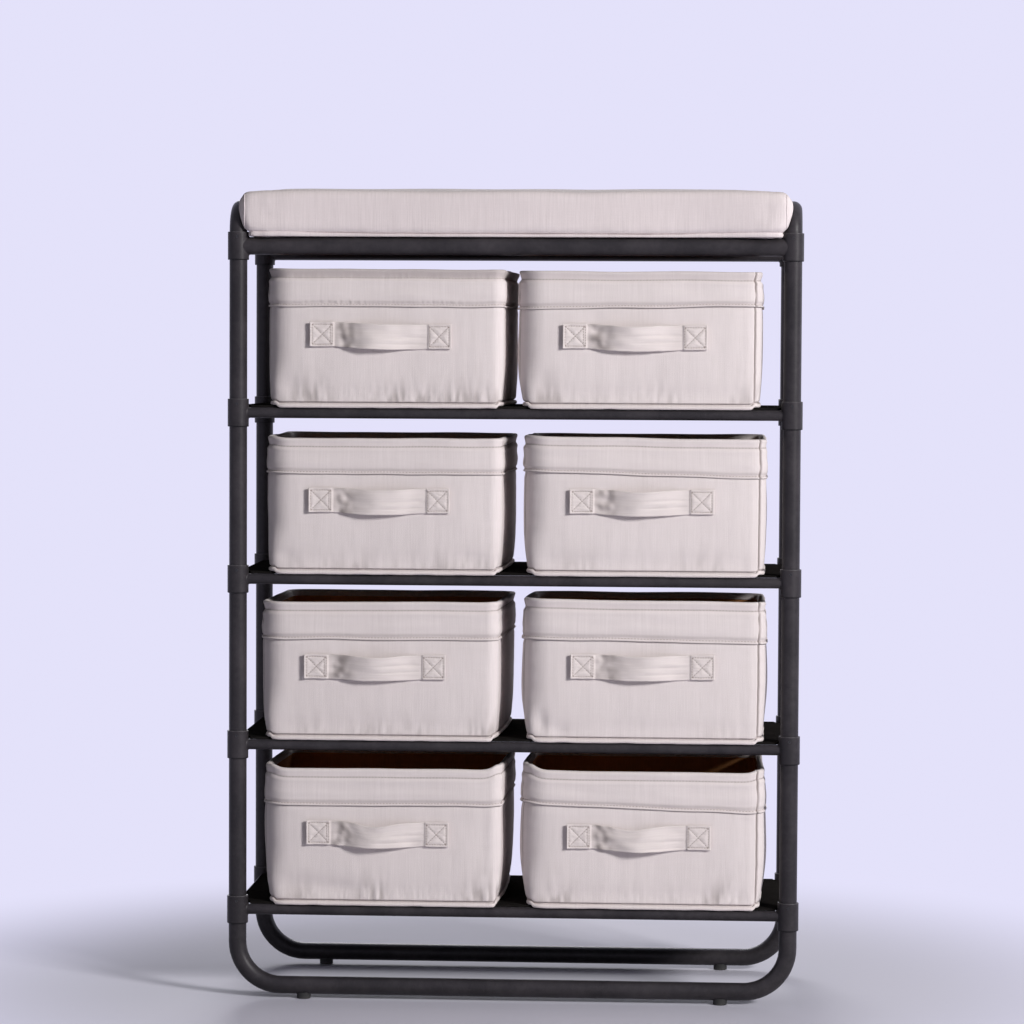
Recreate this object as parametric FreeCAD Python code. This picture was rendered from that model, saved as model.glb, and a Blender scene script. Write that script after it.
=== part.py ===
import FreeCAD, Part
import math
import os

from FreeCAD import Vector

# Fabric drawer dresser: a frame of coated steel tube joined by sleeve fittings, four shelves,
# eight pull-out fabric bins with strap handles, and a padded top that lifts off.
# Millimetres. +X to the right, +Y to the back, +Z up. The origin is on the floor, in the middle.

# ---- Frame -------------------------------------------------------------------------------
upright_span = 790.0      # left upright centre to right upright centre
upright_depth = 290.0     # front upright centre to rear upright centre
tube_d = 25.4             # uprights, loops and top rails
tube_wall = 1.5
rail_d = 15.0             # shelf rails
rail_wall = 1.2
shelf_count = 4
lowest_shelf_z = 128.0    # centre of the lowest shelf's rails
shelf_pitch = 238.0       # from shelf to shelf, and from the highest shelf to the top rails
base_bend_r = 63.0        # centreline radius where the base loops turn up
side_bend_r = 34.0        # centreline radius of the loops beside the cushion

# ---- Fittings ----------------------------------------------------------------------------
fit_gap = 0.05            # radial gap of a tube in a sleeve, and of a spigot in a rail
sleeve_wall = 2.4
sleeve_length = 40.0
sleeve_stop = 4.0         # thickness of the web that the tube ends meet inside a sleeve
sleeve_edge_r = 0.8
stub_length = 5.0         # how far a branch stands out of its sleeve
branch_fillet_r = 2.0
spigot_length = 22.0      # how far a branch reaches into its rail
grub_d = 4.0              # grub screw that clamps each sleeve
grub_rise = 13.0          # grub screw above the middle of its sleeve
grub_proud = 0.4
grub_socket_d = 2.2
grub_socket_depth = 1.2

# ---- Feet --------------------------------------------------------------------------------
foot_d = 20.0
foot_height = 6.2         # floor to the underside of the base tube
foot_saddle = 3.0         # how far a foot wraps up round the tube
foot_inset = 96.0         # foot centre from the upright's centre
foot_edge_r = 1.0
foot_screw_d = 4.0
foot_screw_head_d = 8.0
foot_screw_head_t = 2.4
foot_screw_recess = 1.2   # head above the floor
foot_screw_reach = 6.0    # tip above the inside of the tube's lower wall
screw_gap = 0.1           # radial gap of a screw in its hole

# ---- Shelf decks -------------------------------------------------------------------------
deck_t = 3.0
deck_notch_gap = 1.0      # round the sleeves, beyond the branch fillets
seat_gap = 0.1            # between fixed pieces that rest on each other
rest_gap = 0.3            # under the loose pieces

# ---- Bins --------------------------------------------------------------------------------
bin_side_gap = 22.9       # from a bin to the sleeves beside it
bin_middle_gap = 23.0     # between the two bins of a shelf
bin_headroom = 25.6       # from a bin's rim to the rails above it
bin_overhang = 8.0        # how far a bin stands in front of the front uprights' centres
bin_rear_setback = 10.0   # how far its back stays in front of the rear uprights' centres
bin_corner_r = 20.0
bin_rim_r = 2.0
cloth_t = 1.2             # one layer of the bin's canvas
board_t = 2.5             # stiffeners sewn between the layers
pocket_gap = 0.15         # round a stiffener
pocket_margin = 10.0      # from the rim, the floor and the rounded corners to a wall stiffener
cuff_height = 53.0        # folded band round the rim
cuff_t = 1.8
hem_height = 5.0          # piping round the bottom
hem_t = 1.2

# Each bin is loose on its shelf and stands a little to one side: (left, right), top shelf first.
bin_stray = [(4.5, -5.0), (2.5, 3.0), (1.0, 3.0), (1.0, 2.5)]

# ---- Handles -----------------------------------------------------------------------------
strap_length = 205.0
strap_width = 38.0
strap_t = 2.2
strap_end = 36.0          # sewn flat at each end
strap_standoff = 21.0     # gap behind the middle of the strap
strap_below_rim = 94.0    # strap centre under the rim
strap_offset = -7.0       # strap centre from the bin's centre
strap_bend_r = 14.0

# ---- Cushion -----------------------------------------------------------------------------
cushion_height = 70.0
cushion_overhang = 22.0   # past the front and rear uprights' centres
cushion_side_gap = 0.5    # to the sleeves beside it
cushion_corner_r = 14.0
cushion_top_r = 18.0
cushion_bottom_r = 4.0
cover_t = 2.0
ply_t = 9.0               # base board inside the cover

# ---- Worked-out places -------------------------------------------------------------------
tube_r = tube_d / 2
rail_r = rail_d / 2
sleeve_r = tube_r + sleeve_wall
half_span = upright_span / 2
base_z = foot_height + tube_r
foot_x = (foot_inset - half_span, half_span - foot_inset)
shelf_z = [lowest_shelf_z + shelf_pitch * i for i in range(shelf_count)][::-1]   # top shelf first
top_z = lowest_shelf_z + shelf_pitch * shelf_count
side_bend_z = top_z + sleeve_length / 2
side_top_z = side_bend_z + side_bend_r

bin_wall = 2 * cloth_t + board_t + 2 * pocket_gap
bin_width = (upright_span - 2 * sleeve_r - 2 * bin_side_gap - bin_middle_gap) / 2
bin_depth = upright_depth + bin_overhang - bin_rear_setback
bin_height = shelf_pitch - rail_d - deck_t - seat_gap - rest_gap - bin_headroom
body_width = bin_width - 2 * cuff_t
body_depth = bin_depth - 2 * cuff_t
body_corner_r = bin_corner_r - cuff_t

cushion_width = upright_span - 2 * sleeve_r - 2 * cushion_side_gap
cushion_depth = upright_depth + 2 * cushion_overhang
cushion_z = top_z + tube_r + rest_gap

# The object reaches from its handles to whatever stands furthest back, and its middle is Y = 0.
handle_reach = bin_overhang - cuff_t + seat_gap + strap_standoff + strap_t
front_reach = max(handle_reach, cushion_overhang, sleeve_r + grub_proud)
rear_reach = max(cushion_overhang, sleeve_r + grub_proud)
front_y = (front_reach - rear_reach - upright_depth) / 2
rear_y = front_y + upright_depth


# ---- Shapes ------------------------------------------------------------------------------
def rod(radius, start, direction, length):
    """A solid cylinder from start, along direction."""
    return Part.makeCylinder(radius, length, start, direction)


def pipe(outer_r, wall, start, direction, length):
    """A straight tube."""
    return rod(outer_r, start, direction, length).cut(rod(outer_r - wall, start, direction, length))


def bent_pipe(outer_r, wall, path):
    """A tube along a wire of straight runs and tangent arcs."""
    start = path.OrderedVertexes[0].Point
    along = path.OrderedVertexes[1].Point - start

    def swept(radius):
        ring = Part.Wire(Part.makeCircle(radius, start, along))
        return path.makePipe(Part.Face(ring))

    return swept(outer_r).cut(swept(outer_r - wall))


def u_path(half_width, bend_r, leg_end, crown, place):
    """A U of two legs and a crown, joined by arcs. place(u, v) turns its plane into space."""
    sign = 1 if crown > leg_end else -1
    bend_v = crown - sign * bend_r
    inner = half_width - bend_r
    knee = bend_r * (1 - math.sqrt(0.5))
    left = Part.Arc(place(-half_width, bend_v), place(-half_width + knee, crown - sign * knee),
                    place(-inner, crown)).toShape()
    right = Part.Arc(place(inner, crown), place(half_width - knee, crown - sign * knee),
                     place(half_width, bend_v)).toShape()
    leg_a = Part.makeLine(place(-half_width, leg_end), place(-half_width, bend_v))
    middle = Part.makeLine(place(-inner, crown), place(inner, crown))
    leg_b = Part.makeLine(place(half_width, bend_v), place(half_width, leg_end))
    return Part.Wire([leg_a, left, middle, right, leg_b])


def prism(width, depth, height, corner_r, z=0.0):
    """A block with rounded upright corners, centred on the Z axis."""
    x, y = width / 2, depth / 2
    block = Part.makeBox(width, depth, height, Vector(-x, -y, z))
    upright_edges = [e for e in block.Edges if abs(e.BoundBox.ZLength - height) < 1e-6]
    return block.makeFillet(corner_r, upright_edges)


def level_edges(shape, z):
    """The edges of a shape that lie at one height."""
    return [e for e in shape.Edges if e.BoundBox.ZLength < 1e-6 and abs(e.BoundBox.ZMin - z) < 1e-6]


def export(name, *solids):
    """Writes one node, which may be a group of separate solids."""
    shape = solids[0] if len(solids) == 1 else Part.makeCompound(list(solids))
    shape.exportStep("parts/" + name + ".step")


# ---- Frame pieces ------------------------------------------------------------------------
corners = [(side, end) for end in ("front", "rear") for side in ("left", "right")]


def corner_point(side, end, z=0.0):
    x = -half_span if side == "left" else half_span
    return Vector(x, front_y if end == "front" else rear_y, z)


def inward(side, end):
    """Directions from an upright towards the other side and towards the other end."""
    return Vector(1 if side == "left" else -1, 0, 0), Vector(0, 1 if end == "front" else -1, 0)


def fitting(branches, grub_direction):
    """A sleeve about the Z axis with its middle at the origin. branches are (direction, outer d, wall)."""
    half = sleeve_length / 2
    up = Vector(0, 0, 1)
    body = rod(sleeve_r, Vector(0, 0, -half), up, sleeve_length)
    rims = [e for e in body.Edges if e.Curve.TypeId == "Part::GeomCircle"]
    body = body.makeFillet(sleeve_edge_r, rims)
    stub_end = sleeve_r + stub_length
    for direction, outer_d, _ in branches:
        stub = rod(outer_d / 2, Vector(0, 0, 0), direction, stub_end)
        body = body.fuse(stub)
    curved_seams = [e for e in body.Edges if e.Curve.TypeId == "Part::GeomBSplineCurve"]
    body = body.makeFillet(branch_fillet_r, curved_seams)
    for direction, outer_d, wall in branches:
        spigot_r = outer_d / 2 - wall - fit_gap
        body = body.fuse(rod(spigot_r, Vector(0, 0, 0), direction, stub_end + spigot_length))
    bore_length = half - sleeve_stop / 2
    bore_r = tube_r + fit_gap
    body = body.cut(rod(bore_r, Vector(0, 0, sleeve_stop / 2), up, bore_length))
    body = body.cut(rod(bore_r, Vector(0, 0, -half), up, bore_length))
    body = body.cut(rod(tube_r - tube_wall, Vector(0, 0, -half), up, sleeve_length))
    hole_r = grub_d / 2 + screw_gap
    return body.cut(rod(hole_r, Vector(0, 0, grub_rise), grub_direction, sleeve_r + grub_proud))


def grub_screw(direction):
    """Clamps a sleeve on its tube. Its tip is on the tube and its head has a socket."""
    inner = tube_r + fit_gap
    outer = sleeve_r + grub_proud
    head = Vector(0, 0, grub_rise) + direction * outer
    screw = rod(grub_d / 2, Vector(0, 0, grub_rise) + direction * inner, direction, outer - inner)
    return screw.cut(rod(grub_socket_d / 2, head, direction.negative(), grub_socket_depth))


def build_uprights_and_fittings():
    grubs = []
    levels = shelf_z[::-1] + [top_z]
    for side, end in corners:
        across, along = inward(side, end)
        outward = along.negative()
        tee = fitting([(across, rail_d, rail_wall), (along, rail_d, rail_wall)], outward)
        corner = fitting([(across, tube_d, tube_wall)], outward)
        spot = "{}_{}".format(end, side)
        export("tee_fittings_" + spot, *[tee.translated(corner_point(side, end, z)) for z in shelf_z])
        export("corner_fitting_" + spot, corner.translated(corner_point(side, end, top_z)))
        segments = []
        for low, high in zip(levels, levels[1:]):
            start = corner_point(side, end, low + sleeve_stop / 2)
            segments.append(pipe(tube_r, tube_wall, start, Vector(0, 0, 1), high - low - sleeve_stop))
        export("upright_tubes_" + spot, *segments)
        grubs += [grub_screw(outward).translated(corner_point(side, end, z)) for z in levels]
    export("sleeve_grub_screws", *grubs)


def base_tube(y):
    """U from one lowest fitting down to the floor and up to the other, with holes for its feet's screws."""
    leg_end = lowest_shelf_z - sleeve_stop / 2
    path = u_path(half_span, base_bend_r, leg_end, base_z, lambda u, v: Vector(u, y, v))
    loop = bent_pipe(tube_r, tube_wall, path)
    for x in foot_x:
        loop = loop.cut(rod(foot_screw_d / 2 + screw_gap, Vector(x, y, 0), Vector(0, 0, 1), base_z))
    return loop


def side_tube(x):
    """Arch from the front corner fitting, over the cushion's end, to the rear one."""
    middle_y = (front_y + rear_y) / 2
    path = u_path(upright_depth / 2, side_bend_r, top_z + sleeve_stop / 2, side_top_z,
                  lambda u, v: Vector(x, middle_y + u, v))
    return bent_pipe(tube_r, tube_wall, path)


def foot_pad(x, y):
    """Round pad saddled to the base tube, with a recess for its screw."""
    up = Vector(0, 0, 1)
    pad = rod(foot_d / 2, Vector(x, y, 0), up, foot_height + foot_saddle)
    pad = pad.makeFillet(foot_edge_r, level_edges(pad, 0.0))
    saddle = rod(tube_r + fit_gap, Vector(x - foot_d, y, base_z), Vector(1, 0, 0), 2 * foot_d)
    recess_depth = foot_screw_recess + foot_screw_head_t
    recess = rod(foot_screw_head_d / 2 + screw_gap, Vector(x, y, 0), up, recess_depth)
    hole = rod(foot_screw_d / 2 + screw_gap, Vector(x, y, 0), up, foot_height + foot_saddle)
    return pad.cut(saddle).cut(recess).cut(hole)


def foot_screw(x, y):
    up = Vector(0, 0, 1)
    head = rod(foot_screw_head_d / 2, Vector(x, y, foot_screw_recess), up, foot_screw_head_t)
    tip_z = foot_height + tube_wall + foot_screw_reach
    return head.fuse(rod(foot_screw_d / 2, Vector(x, y, foot_screw_recess), up, tip_z - foot_screw_recess))


def build_loops_and_feet():
    export("base_loop_front", base_tube(front_y))
    export("base_loop_rear", base_tube(rear_y))
    export("side_loop_left", side_tube(-half_span))
    export("side_loop_right", side_tube(half_span))
    spots = [(x, y) for y in (front_y, rear_y) for x in foot_x]
    export("foot_pads", *[foot_pad(x, y) for x, y in spots])
    export("foot_screws", *[foot_screw(x, y) for x, y in spots])


def build_rails_and_decks():
    reach = sleeve_r + stub_length
    across_length = upright_span - 2 * reach
    along_length = upright_depth - 2 * reach
    for y, name in ((front_y, "top_rail_front"), (rear_y, "top_rail_rear")):
        start = Vector(-across_length / 2, y, top_z)
        export(name, pipe(tube_r, tube_wall, start, Vector(1, 0, 0), across_length))
    for number, z in enumerate(shelf_z, 1):
        long_starts = [Vector(-across_length / 2, y, z) for y in (front_y, rear_y)]
        side_starts = [Vector(x, front_y + reach, z) for x in (-half_span, half_span)]
        long_rails = [pipe(rail_r, rail_wall, at, Vector(1, 0, 0), across_length) for at in long_starts]
        side_rails = [pipe(rail_r, rail_wall, at, Vector(0, 1, 0), along_length) for at in side_starts]
        export("shelf_{}_long_rails".format(number), *long_rails)
        export("shelf_{}_side_rails".format(number), *side_rails)
        export("shelf_{}_deck".format(number), deck(z + rail_r + seat_gap))


def deck(z):
    """Board on the four rails of a shelf, notched round the fittings."""
    board = Part.makeBox(upright_span, upright_depth, deck_t, Vector(-half_span, front_y, z))
    notch_r = sleeve_r + branch_fillet_r + deck_notch_gap
    for side, end in corners:
        board = board.cut(rod(notch_r, corner_point(side, end, z), Vector(0, 0, 1), deck_t))
    return board


# ---- Bins --------------------------------------------------------------------------------
# A bin is built with its middle on the Z axis and its bottom at Z = 0.
def stiffener_boxes(grown):
    """Size and low corner of the four wall stiffeners and the floor stiffener, grown on every side."""
    length_x = body_width - 2 * body_corner_r - 2 * pocket_margin
    length_y = body_depth - 2 * body_corner_r - 2 * pocket_margin
    low = bin_wall + pocket_margin
    height = bin_height - pocket_margin - low
    depth_in = cloth_t + pocket_gap
    floor_x = body_width - 2 * body_corner_r
    floor_y = body_depth - 2 * body_corner_r
    boxes = []
    for sign in (-1, 1):
        face_y = sign * (body_depth / 2 - depth_in - board_t / 2)
        face_x = sign * (body_width / 2 - depth_in - board_t / 2)
        boxes.append((length_x, board_t, height, 0.0, face_y, low + height / 2))
        boxes.append((board_t, length_y, height, face_x, 0.0, low + height / 2))
    boxes.append((floor_x, floor_y, board_t, 0.0, 0.0, depth_in + board_t / 2))
    made = []
    for size_x, size_y, size_z, x, y, z in boxes:
        size = [s + 2 * grown for s in (size_x, size_y, size_z)]
        made.append(Part.makeBox(*size, Vector(x - size[0] / 2, y - size[1] / 2, z - size[2] / 2)))
    return made


def bin_shell():
    """Canvas walls and floor with a folded cuff, a piped bottom edge and pockets for the stiffeners."""
    body = prism(body_width, body_depth, bin_height, body_corner_r)
    cuff = prism(bin_width, bin_depth, cuff_height, bin_corner_r, bin_height - cuff_height)
    hem = prism(body_width + 2 * hem_t, body_depth + 2 * hem_t, hem_height, body_corner_r + hem_t)
    inside = prism(body_width - 2 * bin_wall, body_depth - 2 * bin_wall, bin_height,
                   body_corner_r - bin_wall, bin_wall)
    shell = body.fuse(cuff).fuse(hem).removeSplitter().cut(inside)
    shell = shell.makeFillet(bin_rim_r, level_edges(shell, bin_height))
    for pocket in stiffener_boxes(pocket_gap):
        shell = shell.cut(pocket)
    return shell


def strap_handle():
    """Webbing sewn flat at both ends and bowed forward between them, centred on the bin's face."""
    half = strap_length / 2
    bow = half - strap_end

    def side(level):
        """Flat, bow and flat, seen from above, at one distance from the bin's face."""
        bow_start = Vector(-bow, -level, 0)
        bow_end = Vector(bow, -level, 0)
        bow_arc = Part.Arc(bow_start, Vector(0, -level - strap_standoff, 0), bow_end)
        return [Part.makeLine(Vector(-half, -level, 0), bow_start), bow_arc.toShape(),
                Part.makeLine(bow_end, Vector(half, -level, 0))]

    back = side(0.0)
    front = side(strap_t)
    ends = [Part.makeLine(Vector(s * half, 0, 0), Vector(s * half, -strap_t, 0)) for s in (-1, 1)]
    outline = Part.Wire(Part.__sortEdges__(back + front + ends))
    strap = Part.Face(outline).extrude(Vector(0, 0, strap_width))
    bends = [e for e in strap.Edges if abs(e.BoundBox.ZLength - strap_width) < 1e-6
             and abs(abs(e.BoundBox.XMin) - bow) < 1e-6]
    return strap.makeFillet(strap_bend_r, bends)


def build_bins():
    shell = bin_shell()
    boards = Part.makeCompound(stiffener_boxes(0.0))
    strap = strap_handle()
    middle_y = front_y - bin_overhang + bin_depth / 2
    face_y = middle_y - body_depth / 2 - seat_gap
    side_x = (bin_width + bin_middle_gap) / 2
    for number, z in enumerate(shelf_z, 1):
        strays = bin_stray[(number - 1) % len(bin_stray)]
        floor_z = z + rail_r + seat_gap + deck_t + rest_gap
        strap_z = floor_z + bin_height - strap_below_rim - strap_width / 2
        for side, sign, stray in zip(("left", "right"), (-1, 1), strays):
            x = sign * side_x + stray
            place = Vector(x, middle_y, floor_z)
            name = "bin_{}_{}_".format(number, side)
            export(name + "shell", shell.translated(place))
            export(name + "boards", *boards.translated(place).Solids)
            export(name + "handle", strap.translated(Vector(x + strap_offset, face_y, strap_z)))


# ---- Cushion -----------------------------------------------------------------------------
def pad_form(inset, low, high, top_r, bottom_r):
    """The cushion's outline, inset all round, between two heights, with rounded edges."""
    width, depth = cushion_width - 2 * inset, cushion_depth - 2 * inset
    form = prism(width, depth, high - low, cushion_corner_r - inset, low)
    form = form.makeFillet(top_r, level_edges(form, high))
    return form.makeFillet(bottom_r, level_edges(form, low)) if bottom_r else form


def build_cushion():
    place = Vector(0, (front_y + rear_y) / 2, cushion_z)
    cavity_top_r = cushion_top_r - cover_t
    cavity = pad_form(cover_t, cover_t, cushion_height - cover_t, cavity_top_r, 0.0)
    cover = pad_form(0.0, 0.0, cushion_height, cushion_top_r, cushion_bottom_r).cut(cavity)
    inset = cover_t + pocket_gap
    ply_top = inset + ply_t
    ply_width, ply_depth = cushion_width - 2 * inset, cushion_depth - 2 * inset
    ply = prism(ply_width, ply_depth, ply_t, cushion_corner_r - inset, inset)
    foam_top_r = cavity_top_r - pocket_gap
    foam = pad_form(inset, ply_top + pocket_gap, cushion_height - inset, foam_top_r, 0.0)
    export("cushion_cover", cover.translated(place))
    export("cushion_foam", foam.translated(place))
    export("cushion_board", ply.translated(place))


os.makedirs("parts", exist_ok=True)
build_uprights_and_fittings()
build_loops_and_feet()
build_rails_and_decks()
build_bins()
build_cushion()
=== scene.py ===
import math
import random

import bmesh
import bpy
from mathutils import Matrix, Vector, noise
from mathutils.bvhtree import BVHTree


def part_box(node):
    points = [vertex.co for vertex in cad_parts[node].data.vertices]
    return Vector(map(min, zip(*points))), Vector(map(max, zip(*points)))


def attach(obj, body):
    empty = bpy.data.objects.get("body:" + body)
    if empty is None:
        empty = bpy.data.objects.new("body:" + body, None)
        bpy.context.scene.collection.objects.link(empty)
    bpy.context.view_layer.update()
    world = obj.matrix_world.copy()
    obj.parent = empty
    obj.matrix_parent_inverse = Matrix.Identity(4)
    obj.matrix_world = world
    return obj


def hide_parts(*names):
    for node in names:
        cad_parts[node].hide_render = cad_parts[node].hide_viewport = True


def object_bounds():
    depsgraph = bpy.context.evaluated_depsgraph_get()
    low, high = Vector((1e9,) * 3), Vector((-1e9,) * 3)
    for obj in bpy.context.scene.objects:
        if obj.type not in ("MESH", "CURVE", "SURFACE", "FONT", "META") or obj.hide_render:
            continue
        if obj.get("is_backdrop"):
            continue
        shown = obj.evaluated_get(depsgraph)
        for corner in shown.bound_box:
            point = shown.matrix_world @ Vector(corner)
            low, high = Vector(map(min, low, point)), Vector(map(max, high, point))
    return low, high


# Looks of the fabric drawer dresser: sewn canvas bins with folded cuffs and webbing handles, a padded
# linen top, and the finishes of the coated steel frame. Metres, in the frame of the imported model.

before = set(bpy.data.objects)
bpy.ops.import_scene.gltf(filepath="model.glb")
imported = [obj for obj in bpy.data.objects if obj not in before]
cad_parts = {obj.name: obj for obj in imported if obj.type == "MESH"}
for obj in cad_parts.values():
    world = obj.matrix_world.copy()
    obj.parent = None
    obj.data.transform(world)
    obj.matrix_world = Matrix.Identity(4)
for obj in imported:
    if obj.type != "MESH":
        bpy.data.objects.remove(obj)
cad_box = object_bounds()

MM = 0.001
up = Vector((0, 0, 1))
to_front = Vector((0, -1, 0))

# ---- Bins --------------------------------------------------------------------------------
rows = (1, 2, 3, 4)               # top shelf first
sides = ("left", "right")
cuff_t = 1.8 * MM                 # the cuff stands this far out of the body
cuff_height = 53 * MM
# Corners in the order rear left, front left, front right, rear right, and each seam's place in its round.
corner_radii = dict(left=(26 * MM, 34 * MM, 15 * MM, 24 * MM), right=(26 * MM, 34 * MM, 20 * MM, 24 * MM))
corner_seams = dict(left=(0.5, 0.22, 0.9, 0.5), right=(0.5, 0.22, 0.40, 0.5))
wall_t = 5.2 * MM                 # canvas, board and lining
deepest_fold = 3.4 * MM           # no fold reaches the lining
turned_in = -14.5 * MM            # the wall's foot turned in under the floor board
cuff_cloth = 1.4 * MM
cuff_inside = 9 * MM              # the cuff's cloth turned down inside the rim
floor_t = 5.2 * MM
floor_cuts = 24                   # divisions of the floor pad along each axis
hem_seam_z = 7.6 * MM             # crease between the wall and the piping
piping_r = 3.0 * MM
piping_droop = 3.5 * MM           # the front piping hangs over the shelf's edge
tuck_below_rim = 12 * MM          # line of stitches under the rim
fold_above_edge = 17 * MM         # soft fold across the cuff
hem_above_edge = 3.4 * MM         # line of stitches over the cuff's rolled edge
column_front = 1.9 * MM           # spacing of the cloth mesh along a front
column_rear = 3.8 * MM
column_side = 5.0 * MM
corner_columns = 18

# How each bin has settled in use, in millimetres. slant is how much lower the right end of the cuff's edge
# is, rim_slant the same for the rim, rim how far the front rim stands up and ears how far it stands up at its
# left and right corner. bulge and tuck are how far the left and right side swell, and pull in at their foot.
# roll is how far the rim leans over the seam below it, skew the shift of the front and pinch the shift of its
# right corner. Of the handle, dip is the sag of its upper edge, shift its place along the front, raised its
# height and tilt how much lower its right end is sewn. The last three are shares: how much the canvas gathers
# over the piping, which also sets the painted shade in the valleys of the gathers, how much the cuff crinkles
# over its rolled edge, and how much painted shade darkens the rim's strip above its seam, standing for the
# shadow that falls there.
settled_columns = ("slant", "rim_slant", "rim", "ears", "bulge", "tuck", "roll", "skew", "pinch",
                   "dip", "shift", "raised", "tilt", "gathers", "crinkles", "painted_rim_shade")
settled = {
    "bin_1_left": (0.5, 0.8, 0.0, (0.5, 0.0), (2.5, 0.5), (5, 5), 5.4, -1.0, 6,
                   0.5, -7.5, 0.0, 3.2, 1.0, 1.0, 0.48),
    "bin_1_right": (-4.5, 1.0, -2.0, (0.5, 0.0), (4.0, 2.5), (8, 3), 4.4, 0.0, 0,
                    2.0, -7.0, -0.5, 1.4, 0.5, 0.2, 0.15),
    "bin_2_left": (1.0, -1.0, -2.6, (3.0, 0.0), (1.5, 0.5), (5, 5), 3.0, -1.0, 6,
                   1.5, -7.0, 3.0, 0.6, 0.45, 0.4, 0.0),
    "bin_2_right": (8.5, 4.5, 0.0, (1.0, 0.5), (3.5, 2.0), (7, 3), 2.6, 0.0, 0,
                    2.5, -4.0, 4.0, 0.0, 0.25, 0.2, 0.0),
    "bin_3_left": (-0.5, -1.0, 1.5, (0.5, 1.0), (3.5, 0.5), (8, 6), 3.6, -5.5, 4,
                   3.0, -7.0, 3.0, 0.0, 0.6, 0.2, 0.0),
    "bin_3_right": (4.0, 2.8, 7.0, (1.0, 0.5), (4.0, 3.0), (8, 3), 3.0, 0.0, 0,
                    2.0, -1.5, 6.5, 0.0, 0.2, 0.2, 0.0),
    "bin_4_left": (-1.0, -1.0, 0.0, (6.0, 8.0), (3.5, 0.5), (12, 9), 1.8, -1.5, 2,
                   6.0, -7.0, 1.8, 1.5, 1.2, 0.4, 0.0),
    "bin_4_right": (9.5, 2.0, 0.0, (8.5, 5.0), (4.5, 4.5), (11, 7), 1.8, 0.0, 0,
                    6.5, -5.0, 1.4, 0.0, 0.8, 0.2, 0.0),
}
# Dents pressed into a front: place along it and height, their half sizes, and depth, in millimetres.
dents = {
    "bin_3_right": [(-147, 27, 8, 17, 5.0), (-120, 16, 16, 9, 2.0)],
    "bin_4_left": [(-112, 28, 42, 13, 3.6), (-60, 24, 30, 9, 2.0)],
    "bin_1_left": [(-140, 30, 20, 12, 1.8)],
    "bin_2_left": [(-146, 24, 14, 12, 2.0), (120, 24, 18, 9, 1.4)],
    "bin_1_right": [(-140, 36, 22, 16, 1.6)],
}

# ---- Handles -----------------------------------------------------------------------------
strap_length = 205 * MM
strap_width = 35 * MM
strap_t = 2.2 * MM
strap_end = 34 * MM
strap_standoff = 12.5 * MM
strap_below_rim = 94 * MM
strap_lift = 0.3 * MM             # between the webbing and the canvas
strap_across, strap_along = 34, 180    # divisions of the webbing
pad_t = 2.0 * MM                  # webbing folded under at the sewn ends
pad_margin = 3.2 * MM             # from the pad's edges to its stitches

# ---- Cushion -----------------------------------------------------------------------------
cushion_voxel = 6 * MM
cushion_shrink = 7 * MM           # the block starts this much smaller than the pad all round
cushion_travel = 14 * MM          # the most that a point may move as the pad fills
fill_steps = 20
even_rounds = 40                  # times that the filling is evened out from point to point
loop_gap = 0.7 * MM               # between the pad and the frame's loops
crown_back = 3.0 * MM             # the pad stays this much fuller near its edges
crown_width = 34 * MM             # from the pad's edges to where it is full
# Sewn corners: their place along the pad in millimetres, and 1 on its front, -1 on its back.
cushion_seams = ((-384, 1), (385, 1), (-382, -1), (383, -1))


def smooth(low, high, value):
    """0 below low, 1 above high, and a soft step between."""
    t = min(1.0, max(0.0, (value - low) / (high - low)))
    return t * t * (3 - 2 * t)


def bump(value, middle, width):
    """A soft bump of height 1."""
    return math.exp(-((value - middle) / width) ** 2)


def ripple(point, sizes, shift=Vector((0, 0, 0))):
    """Smooth noise from -1 to 1, with its own size along each axis."""
    return noise.noise(Vector([c / s for c, s in zip(point, sizes)]) + shift)


# ---- Meshes ------------------------------------------------------------------------------
def finish_mesh(name, bm):
    """A new object at the origin from a bmesh."""
    mesh = bpy.data.meshes.new(name)
    bm.to_mesh(mesh)
    bm.free()
    made = bpy.data.objects.new(name, mesh)
    bpy.context.scene.collection.objects.link(made)
    return made


def join(main, *others):
    """Adds the other objects' meshes to the first and removes them."""
    bm = bmesh.new()
    for part in (main, *others):
        bm.from_mesh(part.data)
    bm.to_mesh(main.data)
    bm.free()
    for part in others:
        bpy.data.objects.remove(part)


def block(size):
    """A box round the origin."""
    bm = bmesh.new()
    bmesh.ops.create_cube(bm, size=1.0)
    bmesh.ops.scale(bm, vec=size, verts=bm.verts)
    return bm


def rise(edge):
    return abs(edge.verts[0].co.z - edge.verts[1].co.z)


def bevel(bm, edges, offset, segments):
    bmesh.ops.bevel(bm, geom=edges, offset=offset, affect="EDGES", segments=segments, profile=0.5,
                    material=-1)


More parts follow.
